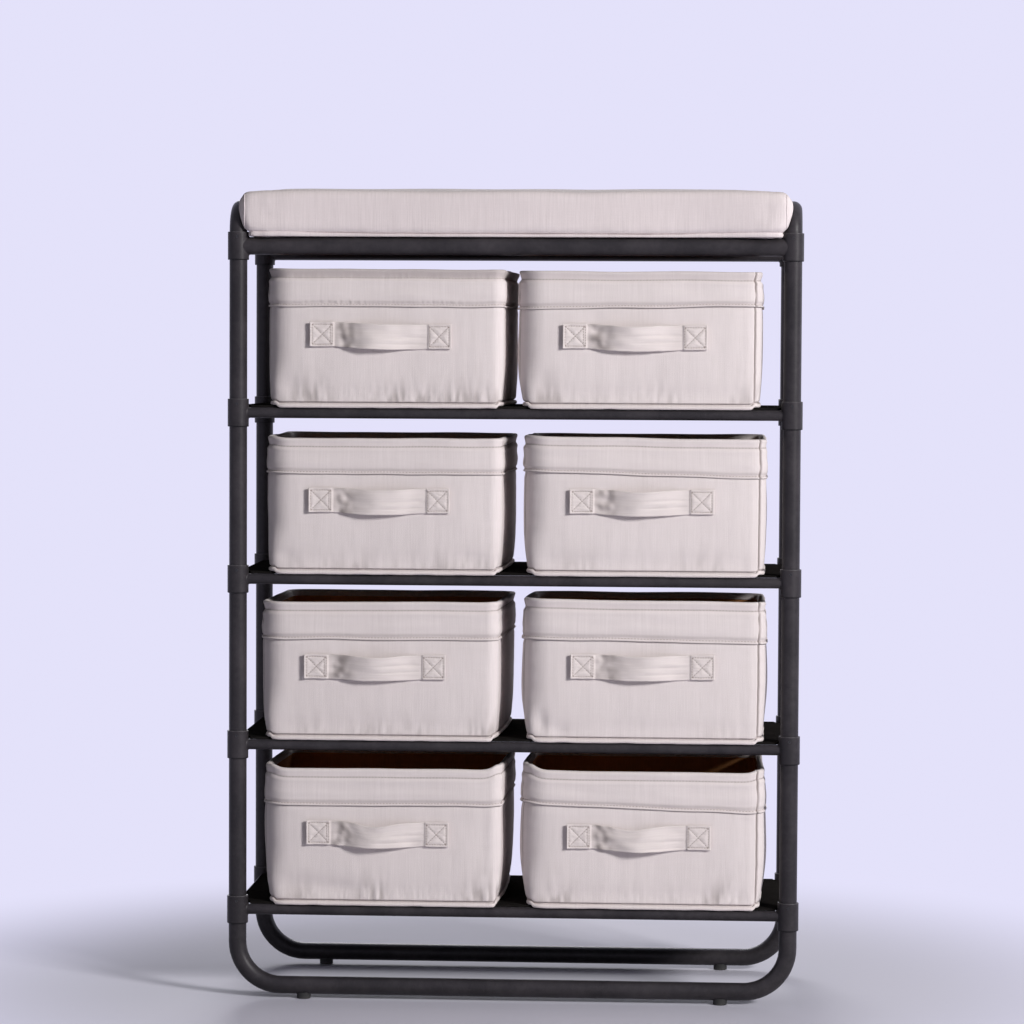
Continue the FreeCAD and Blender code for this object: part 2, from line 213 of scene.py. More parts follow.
def cloth_grid(name, columns, rows_across, place, capped=False, lined=None):
    """A grid whose vertices are put by place(column, row) -> (point, cloth point, share of painted shade),
    closed where it meets itself. The share of painted shade is kept as the crease attribute. Faces of the
    rows for which lined(row) is true take the second material."""
    bm = bmesh.new()
    bmesh.ops.create_grid(bm, x_segments=columns, y_segments=rows_across, size=0.5)
    cloth = bm.loops.layers.uv.new("cloth")
    # Painted shade of each vertex, which darkens the cloth's colour in its material.
    crease = bm.verts.layers.float.new("crease")
    made = {}
    for vert in bm.verts:
        column = round((vert.co.x + 0.5) * columns)
        row = round((vert.co.y + 0.5) * rows_across)
        made[vert] = place(column, row)
    for face in bm.faces:
        face.smooth = True
        if lined:
            face.material_index = int(lined(math.floor((face.calc_center_median().y + 0.5) * rows_across)))
        for loop in face.loops:
            loop[cloth].uv = made[loop.vert][1]
    for vert, (point, _, depth) in made.items():
        vert.co = point
        vert[crease] = depth
    bmesh.ops.remove_doubles(bm, verts=bm.verts, dist=1e-6)
    if capped:
        open_edges = [e for e in bm.edges if e.is_boundary]
        bmesh.ops.holes_fill(bm, edges=open_edges, sides=0)
    bmesh.ops.recalc_face_normals(bm, faces=bm.faces)
    return finish_mesh(name, bm)


class Station:
    """One place on the way round a bin: its point, outward direction, distance and distance from a seam."""

    def __init__(self, point, outward, distance, to_seam):
        self.point = point
        self.outward = outward
        self.distance = distance
        self.to_seam = to_seam

    def at(self, z):
        return Vector((self.point.x, self.point.y, z))


def crowd(share, seam):
    """Moves an even share of a corner's round so that its columns crowd round the seam."""
    side = seam if share < seam else 1 - seam
    part = (share - seam) / side
    return seam + side * (0.3 * part + 0.7 * part ** 3)


def walk(half_x, half_y, radii, seams):
    """Stations round a rounded rectangle from the middle of its back, by way of its left side, and the way's
    length. The corners come in the order rear left, front left, front right, rear right."""
    lengths = (half_x - radii[0], 2 * half_y - radii[0] - radii[1], 2 * half_x - radii[1] - radii[2],
               2 * half_y - radii[2] - radii[3], half_x - radii[3])
    spacings = (column_rear, column_side, column_front, column_side, column_rear)
    spot, heading, distance = Vector((0, half_y, 0)), math.pi, 0.0
    stations = []
    for i, (length, spacing) in enumerate(zip(lengths, spacings)):
        ahead = Vector((math.cos(heading), math.sin(heading), 0))
        inward = Vector((-math.sin(heading), math.cos(heading), 0))
        steps = math.ceil(length / spacing)
        for step in range(steps):
            on = length * step / steps
            stations.append(Station(spot + ahead * on, -inward, distance + on, length))
        spot = spot + ahead * length
        distance += length
        if i == len(radii):
            break
        round_length = radii[i] * math.pi / 2
        for step in range(corner_columns):
            share = crowd(step / corner_columns, seams[i])
            turn = share * math.pi / 2
            point = spot + inward * radii[i] * (1 - math.cos(turn)) + ahead * radii[i] * math.sin(turn)
            outward = Vector((math.sin(heading + turn), -math.cos(heading + turn), 0))
            stations.append(Station(point, outward, distance + round_length * share,
                                    (share - seams[i]) * round_length))
        spot = spot + (inward + ahead) * radii[i]
        heading += math.pi / 2
        distance += round_length
    return stations, distance


def dense(points, step):
    """Points of a section, with more of them along its long runs. A point may carry its own step."""
    made = []
    closed = points + points[:1]
    for a, b in zip(closed, closed[1:]):
        run = math.dist(a[:2], b[:2])
        spacing = a[2] if len(a) > 2 else step
        count = max(1, math.ceil(run / spacing - 1e-6))
        made += [(a[0] + (b[0] - a[0]) * i / count, a[1] + (b[1] - a[1]) * i / count) for i in range(count)]
    return made


def arc(centre_o, centre_z, radius, start, end, count):
    """Points of a section's round part, from one angle to another, in degrees."""
    turns = [math.radians(start + (end - start) * i / count) for i in range(count + 1)]
    return [(centre_o + radius * math.cos(t), centre_z + radius * math.sin(t)) for t in turns]


# No painted shade.
def no_painted_shade(station, out, z):
    return 0.0


def swept(name, section, course, shape, crease=no_painted_shade, lined=None):
    """A closed section of (outward, height) points carried round a course of stations. shape(station, outward
    distance, height) gives each vertex's place, and crease how much painted shade it takes, from 0 to 1,
    standing for the shade in its seams and folds."""
    stations, whole = course
    along = [0.0]
    for a, b in zip(section, section[1:] + section[:1]):
        along.append(along[-1] + math.dist(a, b))

    def place(column, row):
        station = stations[column % len(stations)]
        out, z = section[row % len(section)]
        distance = station.distance if column < len(stations) else whole
        return shape(station, out, z), (distance, along[row]), crease(station, out, z)

    return cloth_grid(name, len(stations), len(section), place, lined=lined)


# ---- One bin -----------------------------------------------------------------------------
class Bin:
    """Where one bin stands, and how its cloth has settled."""

    def __init__(self, row, side):
        self.name = "bin_{}_{}".format(row, side)
        low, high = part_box(self.name + "_shell")
        self.middle = Vector(((low.x + high.x) / 2, (low.y + high.y) / 2, low.z))
        self.half_x = (high.x - low.x) / 2 - cuff_t
        self.half_y = (high.y - low.y) / 2 - cuff_t
        self.height = high.z - low.z
        self.edge = self.height - cuff_height
        self.tuck_z = self.height - tuck_below_rim
        self.course = walk(self.half_x, self.half_y, corner_radii[side], corner_seams[side])
        self.random = random.Random(self.name)
        self.seed = Vector([self.random.uniform(-50, 50) for _ in range(3)])
        self.front_belly = self.random.uniform(1.5, 3.0) * MM
        self.valley = self.random.uniform(0.8, 2.2) * MM
        self.set = dict(zip(settled_columns, settled[self.name]))
        self.dents = dents.get(self.name, ())

    def wave(self, point, sizes, height):
        """The bin's own smooth noise."""
        return ripple(point, sizes, self.seed) * height

    def corner_distance(self, point):
        return max(self.half_x - abs(point.x), self.half_y - abs(point.y))

    def frontness(self, point):
        """0 at the back and 1 at the front."""
        return (self.half_y - point.y) / (2 * self.half_y)

    def of_side(self, key, x):
        """A left and right pair of millimetres, picked by the side that x is on."""
        return self.set[key][x > 0] * MM

    def rim_lean(self, z):
        """The rim leans out over its seam, and a soft ridge stands below the seam."""
        roll = self.set["roll"] * MM
        if z >= self.tuck_z:
            lean = -0.6 + smooth(self.tuck_z, self.height + 2 * MM, z)
        else:
            lean = -0.6 * bump(z, self.tuck_z, 3.0 * MM)
        return roll * lean + 0.5 * MM * bump(z, self.tuck_z - 5 * MM, 2.6 * MM)

    def drape(self, station, out, z):
        """How far the cloth of a wall, cuff or handle end is pushed out and lifted from its plain place."""
        point, outward = station.point, station.outward
        away = self.corner_distance(point)
        on_side = outward.x ** 2
        on_front = max(0.0, -outward.y) ** 2
        share = min(1.0, max(0.0, z / self.height))
        inner = smooth(0, 60 * MM, away)
        bulge = self.of_side("bulge", outward.x)
        belly = self.front_belly * (1 - on_side) + bulge * on_side
        push = belly * inner * math.sin(math.pi * share ** 0.8)
        push += 0.5 * bulge * on_side * math.sin(math.pi * share ** 0.8)
        pull = self.of_side("tuck", outward.x) * on_side * math.exp(-z / (30 * MM))
        push -= pull * (0.5 + 0.5 * bump(away, 0, 70 * MM))
        push -= self.valley * on_front * bump(z, 19 * MM, 13 * MM) * smooth(0, 40 * MM, away)
        at = station.at(z)
        middle_share = smooth(0, 40 * MM, z) * smooth(0, 50 * MM, away)
        push += self.wave(at, (0.11, 0.11, 0.08), 1.6 * MM) * (0.25 + 0.75 * middle_share)
        push += self.wave(at, (0.035, 0.035, 0.05), 0.45 * MM) * middle_share
        for x, height, half_x, half_z, deep in self.dents:
            dent = deep * MM * on_front * bump(point.x, x * MM, half_x * MM)
            push -= dent * bump(z, height * MM, half_z * MM)
        push += self.rim_lean(z)
        sharper = 5 * MM * (2 * outward.x * outward.y) ** 2 if outward.x < 0 and outward.y < 0 else 0.0
        sharper *= 1 - smooth(20 * MM, 80 * MM, z)
        push += sharper
        high = smooth(0.62 * self.height, self.height, z)
        ear = self.of_side("ears", point.x) * (on_side + (1 - on_side) * bump(away, 0, 15 * MM))
        rim = self.set["rim"] * MM - self.set["rim_slant"] * MM / 2 * point.x / self.half_x
        lift = (ear + rim) * self.frontness(point) * high
        lift += self.wave(point, (0.09, 0.09, 1), 1.2 * MM) * high
        depth = point.y + self.half_y + outward.y * sharper
        droop = smooth(-2.4 * MM, -1.0 * MM, out) * (1 - smooth(1.0 * MM, 3.4 * MM, depth))
        lift -= piping_droop * droop * (1 - smooth(3 * MM, 45 * MM, z))
        return push, lift

    def sideways(self, point):
        """How far the front has shifted along the shelf."""
        shift = self.set["skew"] - self.set["pinch"] * max(0.0, point.x / self.half_x)
        return shift * MM * self.frontness(point)

    def put(self, station, out, z):
        """The place of a point of the bin, from its distance outward and its height."""
        place = station.point + station.outward * out + up * z
        place.x += self.sideways(station.point)
        return place + self.middle

    def settle(self, station, out, z):
        push, lift = self.drape(station, out, z)
        return self.put(station, out + push, z + lift)


def seam_groove(station, wander=0.0):
    """A sewn corner: a narrow groove between two low lips, deepest at the front right."""
    to_seam = station.to_seam + wander
    deep = 3.0 * MM if station.outward.x > 0.1 and station.outward.y < -0.1 else 1.7 * MM
    return 0.6 * MM * bump(abs(to_seam), 3.0 * MM, 1.4 * MM) - deep * bump(to_seam, 0, 1.2 * MM)


def over_hem(z, step, fade):
    """1 just above the seam over the piping, fading upwards."""
    return smooth(hem_seam_z, hem_seam_z + step, z) * math.exp(-max(0.0, z - hem_seam_z) / fade)


def bin_body(box):
    """Outer canvas, rim and lining as one closed wall, with the covered floor board inside it."""
    top = box.height - cuff_cloth
    rim = arc(-wall_t / 2, top - wall_t / 2, wall_t / 2, 0, 180, 6)
    section = [(turned_in, 0.3 * MM, 8 * MM), (-2.6 * MM, 0.3 * MM, 2 * MM), (-2.6 * MM, 6.4 * MM),
               (-1.7 * MM, 7.4 * MM), (-0.5 * MM, 8.2 * MM), (0, 9.8 * MM, 2.4 * MM), (0, 30 * MM, 4 * MM)]
    section += rim + [(-wall_t, 8 * MM, 6 * MM), (turned_in, 5.6 * MM)]
    section = dense(section, 8 * MM)
    pleat = (0.0075, 0.0075, 0.030)
    broad = (0.055, 0.055, 1)

    def shape(station, out, z):
        at = station.at(z)
        away = box.corner_distance(station.point)
        near_hem = over_hem(z, 4 * MM, 11 * MM)
        gathered = box.wave(station.point, broad, 1.0) + 0.25
        gathered = max(0.3, gathered * 1.9) + 0.5 * bump(away, 0, 26 * MM)
        fine = box.wave(at, pleat, 2.6 * MM) * near_hem * gathered * box.set["gathers"]
        fine += box.wave(at, (0.0040, 0.0040, 0.012), 0.9 * MM) * near_hem * box.set["gathers"]
        fine += box.wave(at, (0.014, 0.014, 0.16), 0.3 * MM)
        rumpled = box.wave(at, (0.03, 0.03, 0.012), 1.1 * MM) * math.exp(-away / (14 * MM))
        fine += rumpled * smooth(0, 12 * MM, z)
        under_cuff = smooth(box.edge - 6 * MM, box.edge + 2 * MM, z)
        fine = fine * (1 - under_cuff) - 1.2 * MM * under_cuff
        fine += seam_groove(station) * smooth(4 * MM, 12 * MM, z)
        fine = max(fine, -deepest_fold)
        return box.settle(station, out + fine * smooth(-wall_t, 0, out), z)

    # Painted shade, darkening the canvas where shade falls: in the corner seams, along the seam over the
    # piping, and in the valleys of the gathers above it (the share named rubbed).
    def crease(station, out, z):
        seam = bump(station.to_seam, 0, 1.4 * MM) * smooth(4 * MM, 12 * MM, z)
        hem = bump(z, hem_seam_z, 1.3 * MM)
        gathered = max(0.0, box.wave(station.point, broad, 1.5) + 0.4)
        valley = 1 - smooth(-0.3, 0.3, box.wave(station.at(z), pleat, 1.0))
        rubbed = min(0.5, 1.4 * box.set["gathers"] * over_hem(z, 3 * MM, 16 * MM) * gathered * valley)
        return max(seam, hem, rubbed) * smooth(-0.6 * wall_t, 0, out)

    def lined(row):
        a, b = section[row], section[(row + 1) % len(section)]
        return max(a[0], b[0]) < -0.6 * wall_t and max(a[1], b[1]) > 1 * MM

    wall = swept(box.name + "_body", section, box.course, shape, crease, lined)
    join(wall, floor_pad(box))
    return wall


def floor_pad(box):
    """Covered board that lies inside the wall's turned-in edge."""
    narrow = max(box.set["tuck"]) * MM
    half_x, half_y = box.half_x - wall_t - narrow, box.half_y - wall_t - 0.8 * MM
    bm = block((2 * half_x, 2 * half_y, floor_t - 1 * MM))
    bevel(bm, [e for e in bm.edges if rise(e) > 1 * MM], 16 * MM, 7)
    bevel(bm, [e for e in bm.edges if rise(e) < 1e-6], 1.6 * MM, 2)
    for axis, half in ((0, half_x), (1, half_y)):
        for i in range(1, floor_cuts):
            cut = Vector((0, 0, 0))
            cut[axis] = half * (2 * i / floor_cuts - 1)
            direction = Vector((1 - axis, axis, 0))
            everything = bm.verts[:] + bm.edges[:] + bm.faces[:]
            bmesh.ops.bisect_plane(bm, geom=everything, plane_co=cut, plane_no=direction)
    cloth = bm.loops.layers.uv.new("cloth")
    for vert in bm.verts:
        rest = 7.4 * MM + vert.co.z
        sag = box.wave(vert.co, (0.07, 0.07, 1), 0.9 * MM) + box.wave(vert.co, (0.02, 0.02, 1), 0.3 * MM)
        vert.co.z = rest + (sag if vert.co.z > 0 else 0)
        vert.co.x += box.sideways(vert.co)
        vert.co += box.middle
    for face in bm.faces:
        face.smooth = True
        face.material_index = 1
        for loop in face.loops:
            loop[cloth].uv = (loop.vert.co.x, loop.vert.co.y)
    return finish_mesh(box.name + "_floor", bm)


def cuff_fine(box, station, z):
    """How far the cuff's outer face stands from a plain band: crinkled seams, a soft fold, a rolled edge."""
    at = station.at(z)
    above = z - box.edge
    crinkle = box.wave(at, (0.0042, 0.0042, 0.03), 1.0) * box.set["crinkles"]
    push = 0.7 * MM * crinkle * bump(z, box.tuck_z + 1.5 * MM, 4 * MM)
    push -= 0.6 * MM * bump(z, box.tuck_z, 1.0 * MM)
    push += 0.9 * MM * bump(above, fold_above_edge, 6 * MM) * (0.6 + box.wave(at, (0.08, 0.08, 1), 0.8))
    push += box.wave(at, (0.06, 0.06, 0.012), 0.9 * MM)
    drawn_in = (1 - smooth(3.0 * MM, 9 * MM, above)) * smooth(2.0 * MM, 3.0 * MM, above)
    push -= 2.0 * MM * drawn_in
    push += 1.2 * MM * crinkle * bump(above, 6 * MM, 3.5 * MM)
    push += 0.3 * MM * bump(above, 1.2 * MM, 1.2 * MM)
    return max(push, -1.8 * MM)


def cuff_seam(box, station, z):
    """The corner seam of the cuff, which wanders a little."""
    return seam_groove(station, box.wave(station.at(z), (1, 1, 0.012), 1.6 * MM))


def cuff_place(box, station, out, z):
    """The place of a point of the cuff, whose lower edge hangs unevenly."""
    share = 1 - smooth(box.edge, box.height - 14 * MM, z)
    slant = (box.set["slant"] - 0.2 * box.set["rim_slant"]) * MM / 2 * station.point.x / box.half_x
    uneven = box.wave(station.point, (0.07, 0.07, 1), 1.6 * MM)
    return box.settle(station, out, z) - up * (share * (slant * box.frontness(station.point) + uneven))


def bin_cuff(box):
    """Band of canvas turned in over the rim and folded down outside."""
    top_r = (wall_t + cuff_t + cuff_cloth) / 2
    crown = box.height - top_r + 0.6 * MM
    middle = cuff_t - top_r
    back = middle - top_r
    over = arc(middle, crown, top_r, 0, 180, 9)
    under = arc(middle, crown, top_r - cuff_cloth, 180, 0, 7)
    inside_end = box.height - cuff_inside
    inner = cuff_t - cuff_cloth
    section = [(cuff_t, box.edge + 0.8 * MM, 0.8 * MM), (cuff_t, box.edge + 14 * MM, 1.7 * MM), *over,
               (back, inside_end, 2 * MM), (back + cuff_cloth, inside_end, 3 * MM), *under,
               (inner, box.edge + 3 * MM), (inner, box.edge, 1 * MM),
               (cuff_t - 0.5 * MM, box.edge - 0.3 * MM)]
    section = dense(section, 2.4 * MM)

    def shape(station, out, z):
        push = cuff_fine(box, station, z) * (0.5 + 0.5 * smooth(inner, cuff_t, out))
        push += cuff_seam(box, station, z) * smooth(-wall_t, -0.5 * wall_t, out)
        return cuff_place(box, station, out + push, z)

    # Painted shade, darkening the cuff where shade falls: in the corner seams and the seam under the rim, in
    # a soft band above the rolled edge, in a line just under the cuff's edge, and on the rim's strip above
    # its seam.
    def crease(station, out, z):
        seam = 0.9 * bump(station.to_seam, 0, 1.4 * MM)
        tuck = 0.5 * bump(z, box.tuck_z, 0.8 * MM)
        hem = 0.26 * bump(z - box.edge, 6 * MM, 3.5 * MM) + bump(z, box.edge - 0.2 * MM, 0.7 * MM)
        rim = box.set["painted_rim_shade"] * smooth(box.tuck_z, box.tuck_z + 2 * MM, z)
        return max(seam, tuck, hem, rim) * smooth(-0.5 * wall_t, 0, out)

    return swept(box.name + "_cuff", section, box.course, shape, crease)


def bin_piping(box):
    """Round piping sewn in under the wall, all round the bottom."""
    section = arc(-0.2 * MM, piping_r + 0.1 * MM, piping_r, -180, 180, 12)[:-1]

    def shape(station, out, z):
        at = station.point
        sway = box.wave(at, (0.05, 0.05, 1), 0.8 * MM)
        up_by = max(0.0, box.wave(at, (0.03, 0.03, 1), 1.0 * MM))
        push, lift = box.drape(station, 0, piping_r)
        corner = bump(box.corner_distance(at), 0, 9 * MM)
        return box.put(station, out + sway + push, z + up_by + lift + 0.6 * MM * corner)

    return swept(box.name + "_piping", section, box.course, shape)


# ---- Handles -----------------------------------------------------------------------------
class Strap:
    """Webbing sewn flat at both ends and loose between them."""

    def __init__(self, box):
        self.box = box
        self.z = box.height - strap_below_rim + box.set["raised"] * MM
        self.bow = strap_length / 2 - strap_end
        pick = box.random
        self.standoff = strap_standoff * pick.uniform(0.88, 1.05)
        self.droop = pick.uniform(2.0, 3.5) * MM
        self.dip_at = pick.uniform(-0.30, 0.05)
        self.crease = pick.uniform(-0.3, 0.3)
        self.crest = pick.uniform(0.42, 0.52)
        self.dip, self.tilt, self.shift = [box.set[key] * MM for key in ("dip", "tilt", "shift")]
        corners = [(a * strap_length / 2 - math.copysign(pad_margin, a), c) for a in (-1, 1)
                   for c in (-strap_width / 2 + pad_margin, strap_width / 2 - pad_margin)]
        inner = [(math.copysign(self.bow + pad_margin * 0.6, a), c) for a, c in corners]
        self.pads = [(corners[i], corners[i + 1], inner[i + 1], inner[i]) for i in (0, 2)]

    def stitch_runs(self):
        """The lines of a box and a cross at each end, as pairs of (along, across) points."""
        for pad in self.pads:
            for a, b in ((0, 1), (1, 2), (2, 3), (3, 0), (0, 2), (1, 3)):
                yield pad[a], pad[b]
        low, high = self.pads[0][3], self.pads[0][2]
        yield (low[0] - 3 * MM, low[1]), (high[0] - 3 * MM, high[1])

    def to_stitch(self, along, across):
        """Distance to the nearest line of stitches."""
        nearest = 1.0
        for a, b in self.stitch_runs():
            run = Vector(b) - Vector(a)
            to = Vector((along, across)) - Vector(a)
            part = min(1.0, max(0.0, to.dot(run) / run.length_squared))
            nearest = min(nearest, (to - run * part).length)
        return nearest

    def quilting(self, along, across):
        """Stitches pull the webbing down, and it puffs up between them."""
        nearest = self.to_stitch(along, across)
        return 0.4 * MM * smooth(0, 6 * MM, nearest) - 0.55 * MM * bump(nearest, 0, 1.0 * MM)

    def tone(self, along, across):
        """Painted shade on the webbing: where it leaves its left end and turns away from the light, and round
        its stitches.
        """
        if abs(along) >= self.bow:
            return 0.18 * bump(self.to_stitch(along, across * strap_width / 2), 0, 1.3 * MM)
        uneven = 0.7 + self.box.wave(Vector((along, across * 0.02, 0)), (0.012, 0.012, 1), 0.9)
        return max(0.0, 0.68 * bump(along / self.bow, -0.74, 0.28) * uneven)

    def surface(self, along, across, out):
        """A point of the webbing: along from its middle, across from -1 at its lower edge to 1, and out."""
        box = self.box
        t = along / self.bow
        share = max(0.0, 1 - t * t)
        on = (t + 1) / 2
        bow = smooth(0.0, self.crest, on) * (1 - smooth(self.crest, 1.0, on)) if abs(t) < 1 else 0.0
        lift = self.standoff * bow
        drop = self.droop * share * (0.7 - 0.3 * across)
        drop += self.dip * bump(t, self.dip_at, 0.45) * share * smooth(-1, 1, across)
        drop += self.tilt / 2 * max(-1.0, min(1.0, t))
        lift += 2.6 * MM * share * across * math.sin(2.4 * t + self.crease * 6)
        fold = bump(across, self.crease, 0.12) + 0.8 * bump(across, self.crease - 0.55, 0.10)
        lift -= 1.3 * MM * fold * smooth(-0.25, 0.4, t) * min(1.0, 3 * share)
        at = Vector((along, across * 0.03, 0))
        lift += box.wave(at, (0.030, 0.020, 1), 1.6 * MM) * min(1.0, 2 * share)
        rumple = box.wave(at, (0.011, 0.017, 1), 2.2 * MM) * bump(t, -0.76, 0.20)
        lift += rumple * min(1.0, 4 * share)
        sewn = smooth(self.bow - 1.5 * MM, self.bow + 1.5 * MM, abs(along))
        curl = 1.6 * MM * bump(along, -strap_length / 2, 6 * MM)
        lift += sewn * pad_t + curl
        if out:
            lift += 0.3 * MM * bump(abs(across), 0.92, 0.06)
            if sewn:
                lift += sewn * self.quilting(along, across * strap_width / 2)
            lift += sewn * box.wave(Vector((along, 0, across * strap_width)), (0.006, 1, 0.006), 0.5 * MM)
        z = self.z + across * strap_width / 2 + box.wave(at, (0.012, 0.5, 1), 0.5 * MM)
        base = Station(Vector((self.shift + along, -box.half_y, 0)), to_front, 0, 1)
        return box.settle(base, 0, z) + Vector((0, -(strap_lift + lift + out), -drop))


def bin_strap(box, strap):
    """The webbing as a closed band, with its two cut ends."""
    steps = [2 * i / strap_across for i in range(strap_across + 1)]
    edge_out = strap_t * 0.5
    section = [(-1 + step, strap_t) for step in steps] + [(1, edge_out)]
    section += [(1 - step, 0.0) for step in steps] + [(-1, edge_out)]

    def place(column, row):
        along = strap_length * (column / strap_along - 0.5)
        across, out = section[row % len(section)]
        point = strap.surface(along, across if out == edge_out else across * 0.985, out)
        girth = row / len(section) * 2 * (strap_width + strap_t)
        # The third value is the painted shade from tone().
        return point, (girth, along), strap.tone(along, across)

    return cloth_grid(box.name + "_strap", strap_along, len(section), place, capped=True)


# ---- Stitches ----------------------------------------------------------------------------
stitch_length = 3.0 * MM
strap_stitch_r = 0.48 * MM
strap_stitch_pitch = 3.7 * MM
cuff_stitch_r = 0.36 * MM
cuff_stitch_pitch = 4.6 * MM


def plain_stitch():
    """One thread of unit size, lying along Z and a little flattened."""
    bm = bmesh.new()
    bmesh.ops.create_uvsphere(bm, u_segments=6, v_segments=4, radius=1.0)
    bmesh.ops.scale(bm, vec=(1, 0.8, 1), verts=bm.verts)
    for face in bm.faces:
        face.smooth = True
    mesh = bpy.data.meshes.new("stitch")
    bm.to_mesh(mesh)
    bm.free()
    return mesh


unit_stitch = plain_stitch()


def add_stitch(bm, point, along, outward, radius):
    """One raised thread, lying on the cloth."""
    side = along.cross(outward).normalized()
    turn = Matrix((side, outward.normalized(), along.normalized())).transposed().to_4x4()
    size = Matrix.Diagonal((radius, radius, stitch_length / 2, 1))
    thread_mesh = unit_stitch.copy()
    thread_mesh.transform(Matrix.Translation(point) @ turn @ size)
    bm.from_mesh(thread_mesh)
    bpy.data.meshes.remove(thread_mesh)


def sew(bm, line, pitch, radius):
    """Stitches along a line of (point, outward) pairs, one each pitch."""
    travelled, next_at = 0.0, pitch / 2
    for (a, out_a), (b, _) in zip(line, line[1:]):
        run = (b - a).length
        while travelled + run >= next_at:
            part = (next_at - travelled) / run
            add_stitch(bm, a.lerp(b, part), b - a, out_a, radius)
            next_at += pitch
        travelled += run


def bin_stitching(box, strap):
    """Threads of the handle's ends and of the cuff's two seams."""
    bm = bmesh.new()
    for a, b in strap.stitch_runs():
        line = []
        for i in range(13):
            spot = Vector(a).lerp(Vector(b), i / 12)
            line.append((strap.surface(spot.x, spot.y / (strap_width / 2), strap_t), to_front))
        sew(bm, line, strap_stitch_pitch, strap_stitch_r)
    stations = box.course[0]
    for z in (box.tuck_z, box.edge + hem_above_edge):
        ring = []
        for station in stations + stations[:1]:
            out = cuff_t + cuff_fine(box, station, z) + cuff_seam(box, station, z) + 0.1 * MM
            ring.append((cuff_place(box, station, out, z), station.outward))
        sew(bm, ring, cuff_stitch_pitch, cuff_stitch_r)
    return finish_mesh(box.name + "_stitching", bm)


# ---- Cushion -----------------------------------------------------------------------------
def cushion_form(low, high):
    """Rounded block a little smaller than the finished pad."""
    size = high - low - Vector((2 * cushion_shrink, 2 * cushion_shrink, 1.2 * cushion_shrink))
    half = size.z / 2
    bm = block(size)
    bevel(bm, [e for e in bm.edges if rise(e) > half], 14 * MM, 6)
    bevel(bm, [e for e in bm.edges if min(v.co.z for v in e.verts) > half - 1e-5], 8 * MM, 5)
    bevel(bm, [e for e in bm.edges if max(v.co.z for v in e.verts) < 1e-5 - half], 5 * MM, 3)
    bmesh.ops.translate(bm, vec=(low + high) / 2, verts=bm.verts)
    return finish_mesh("cushion", bm)


def apply_modifiers(obj):
    """Bakes an object's modifiers into its mesh."""
    graph = bpy.context.evaluated_depsgraph_get()
    mesh = bpy.data.meshes.new_from_object(obj.evaluated_get(graph))
    obj.modifiers.clear()
    obj.data = mesh


def inflate(obj):
    """Fills the pad with air pressure, as foam fills its cover."""
    scene = bpy.context.scene
    rest = [v.co.copy() for v in obj.data.vertices]
    cloth = obj.modifiers.new("fill", "CLOTH")
    cloth.settings.quality = 5
    cloth.settings.mass = 0.3
    cloth.settings.use_pressure = True
    cloth.settings.uniform_pressure_force = 4.0
    cloth.settings.tension_stiffness = 25
    cloth.settings.compression_stiffness = 25
    cloth.settings.bending_stiffness = 8.0
    cloth.settings.effector_weights.gravity = 0
    cloth.point_cache.frame_start = 1
    cloth.point_cache.frame_end = fill_steps
    for step in range(1, fill_steps + 1):
        scene.frame_set(step)
    apply_modifiers(obj)
    scene.frame_set(1)
    moves = []
    for vert, start in zip(obj.data.vertices, rest):
        move = vert.co - start
        moves.append(move * min(1.0, cushion_travel / max(move.length, 1e-9)))
    beside = [[] for _ in rest]
    for edge in obj.data.edges:
        a, b = edge.vertices
        beside[a].append(b)
        beside[b].append(a)
    for _ in range(even_rounds):
        moves = [sum((moves[i] for i in near), move) / (len(near) + 1) for move, near in zip(moves, beside)]
    for vert, start, move in zip(obj.data.vertices, rest, moves):
        vert.co = start + move


class Loops:
    """The frame's tubes at the ends of the pad, with the sleeves round their feet."""

    def __init__(self):
        low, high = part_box("side_loop_right")
        self.radius = (high.x - low.x) / 2
        self.x = (low.x + high.x) / 2
        self.front = low.y + self.radius
        self.rear = high.y - self.radius
        sleeve_low, sleeve_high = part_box("corner_fitting_front_right")
        self.sleeve = self.front - sleeve_low.y
        self.sleeve_top = sleeve_high.z

    def clear(self, at):
        """Where a point of the pad goes so that it is outside the tubes."""
        foot = 1 - smooth(self.sleeve_top, self.sleeve_top + 7 * MM, at.z)
        reach = self.radius + (self.sleeve - self.radius) * foot + loop_gap
        nearest = min(max(at.y, self.front), self.rear)
        away = Vector((abs(at.x) - self.x, at.y - nearest, 0))
        if nearest == at.y:
            away = Vector((min(away.x, -reach), 0, 0))
        elif away.length < reach:
            away = away.normalized() * reach
        return Vector((math.copysign(self.x + away.x, at.x), nearest + away.y, at.z))


def build_cushion():
    low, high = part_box("cushion_cover")
    loops = Loops()
    pad = cushion_form(low, high)
    remesh = pad.modifiers.new("even", "REMESH")
    remesh.mode = "VOXEL"
    remesh.voxel_size = cushion_voxel
    apply_modifiers(pad)
    inflate(pad)
    ease(pad, 4)
    fit_cushion(pad, low, high, loops)
    finer = pad.modifiers.new("finer", "SUBSURF")
    finer.levels = finer.render_levels = 1
    apply_modifiers(pad)
    crumple(pad, low, high, loops)
    lay_cloth(pad)
    for face in pad.data.polygons:
        face.use_smooth = True
    return pad


def ease(obj, rounds):
    """Smooths a mesh a little, as foam does with the creases of its cover."""
    bm = bmesh.new()
    bm.from_mesh(obj.data)
    for _ in range(rounds):
        bmesh.ops.smooth_vert(bm, verts=bm.verts, factor=0.5, use_axis_x=True, use_axis_y=True,
                              use_axis_z=True)
    bm.to_mesh(obj.data)
    bm.free()


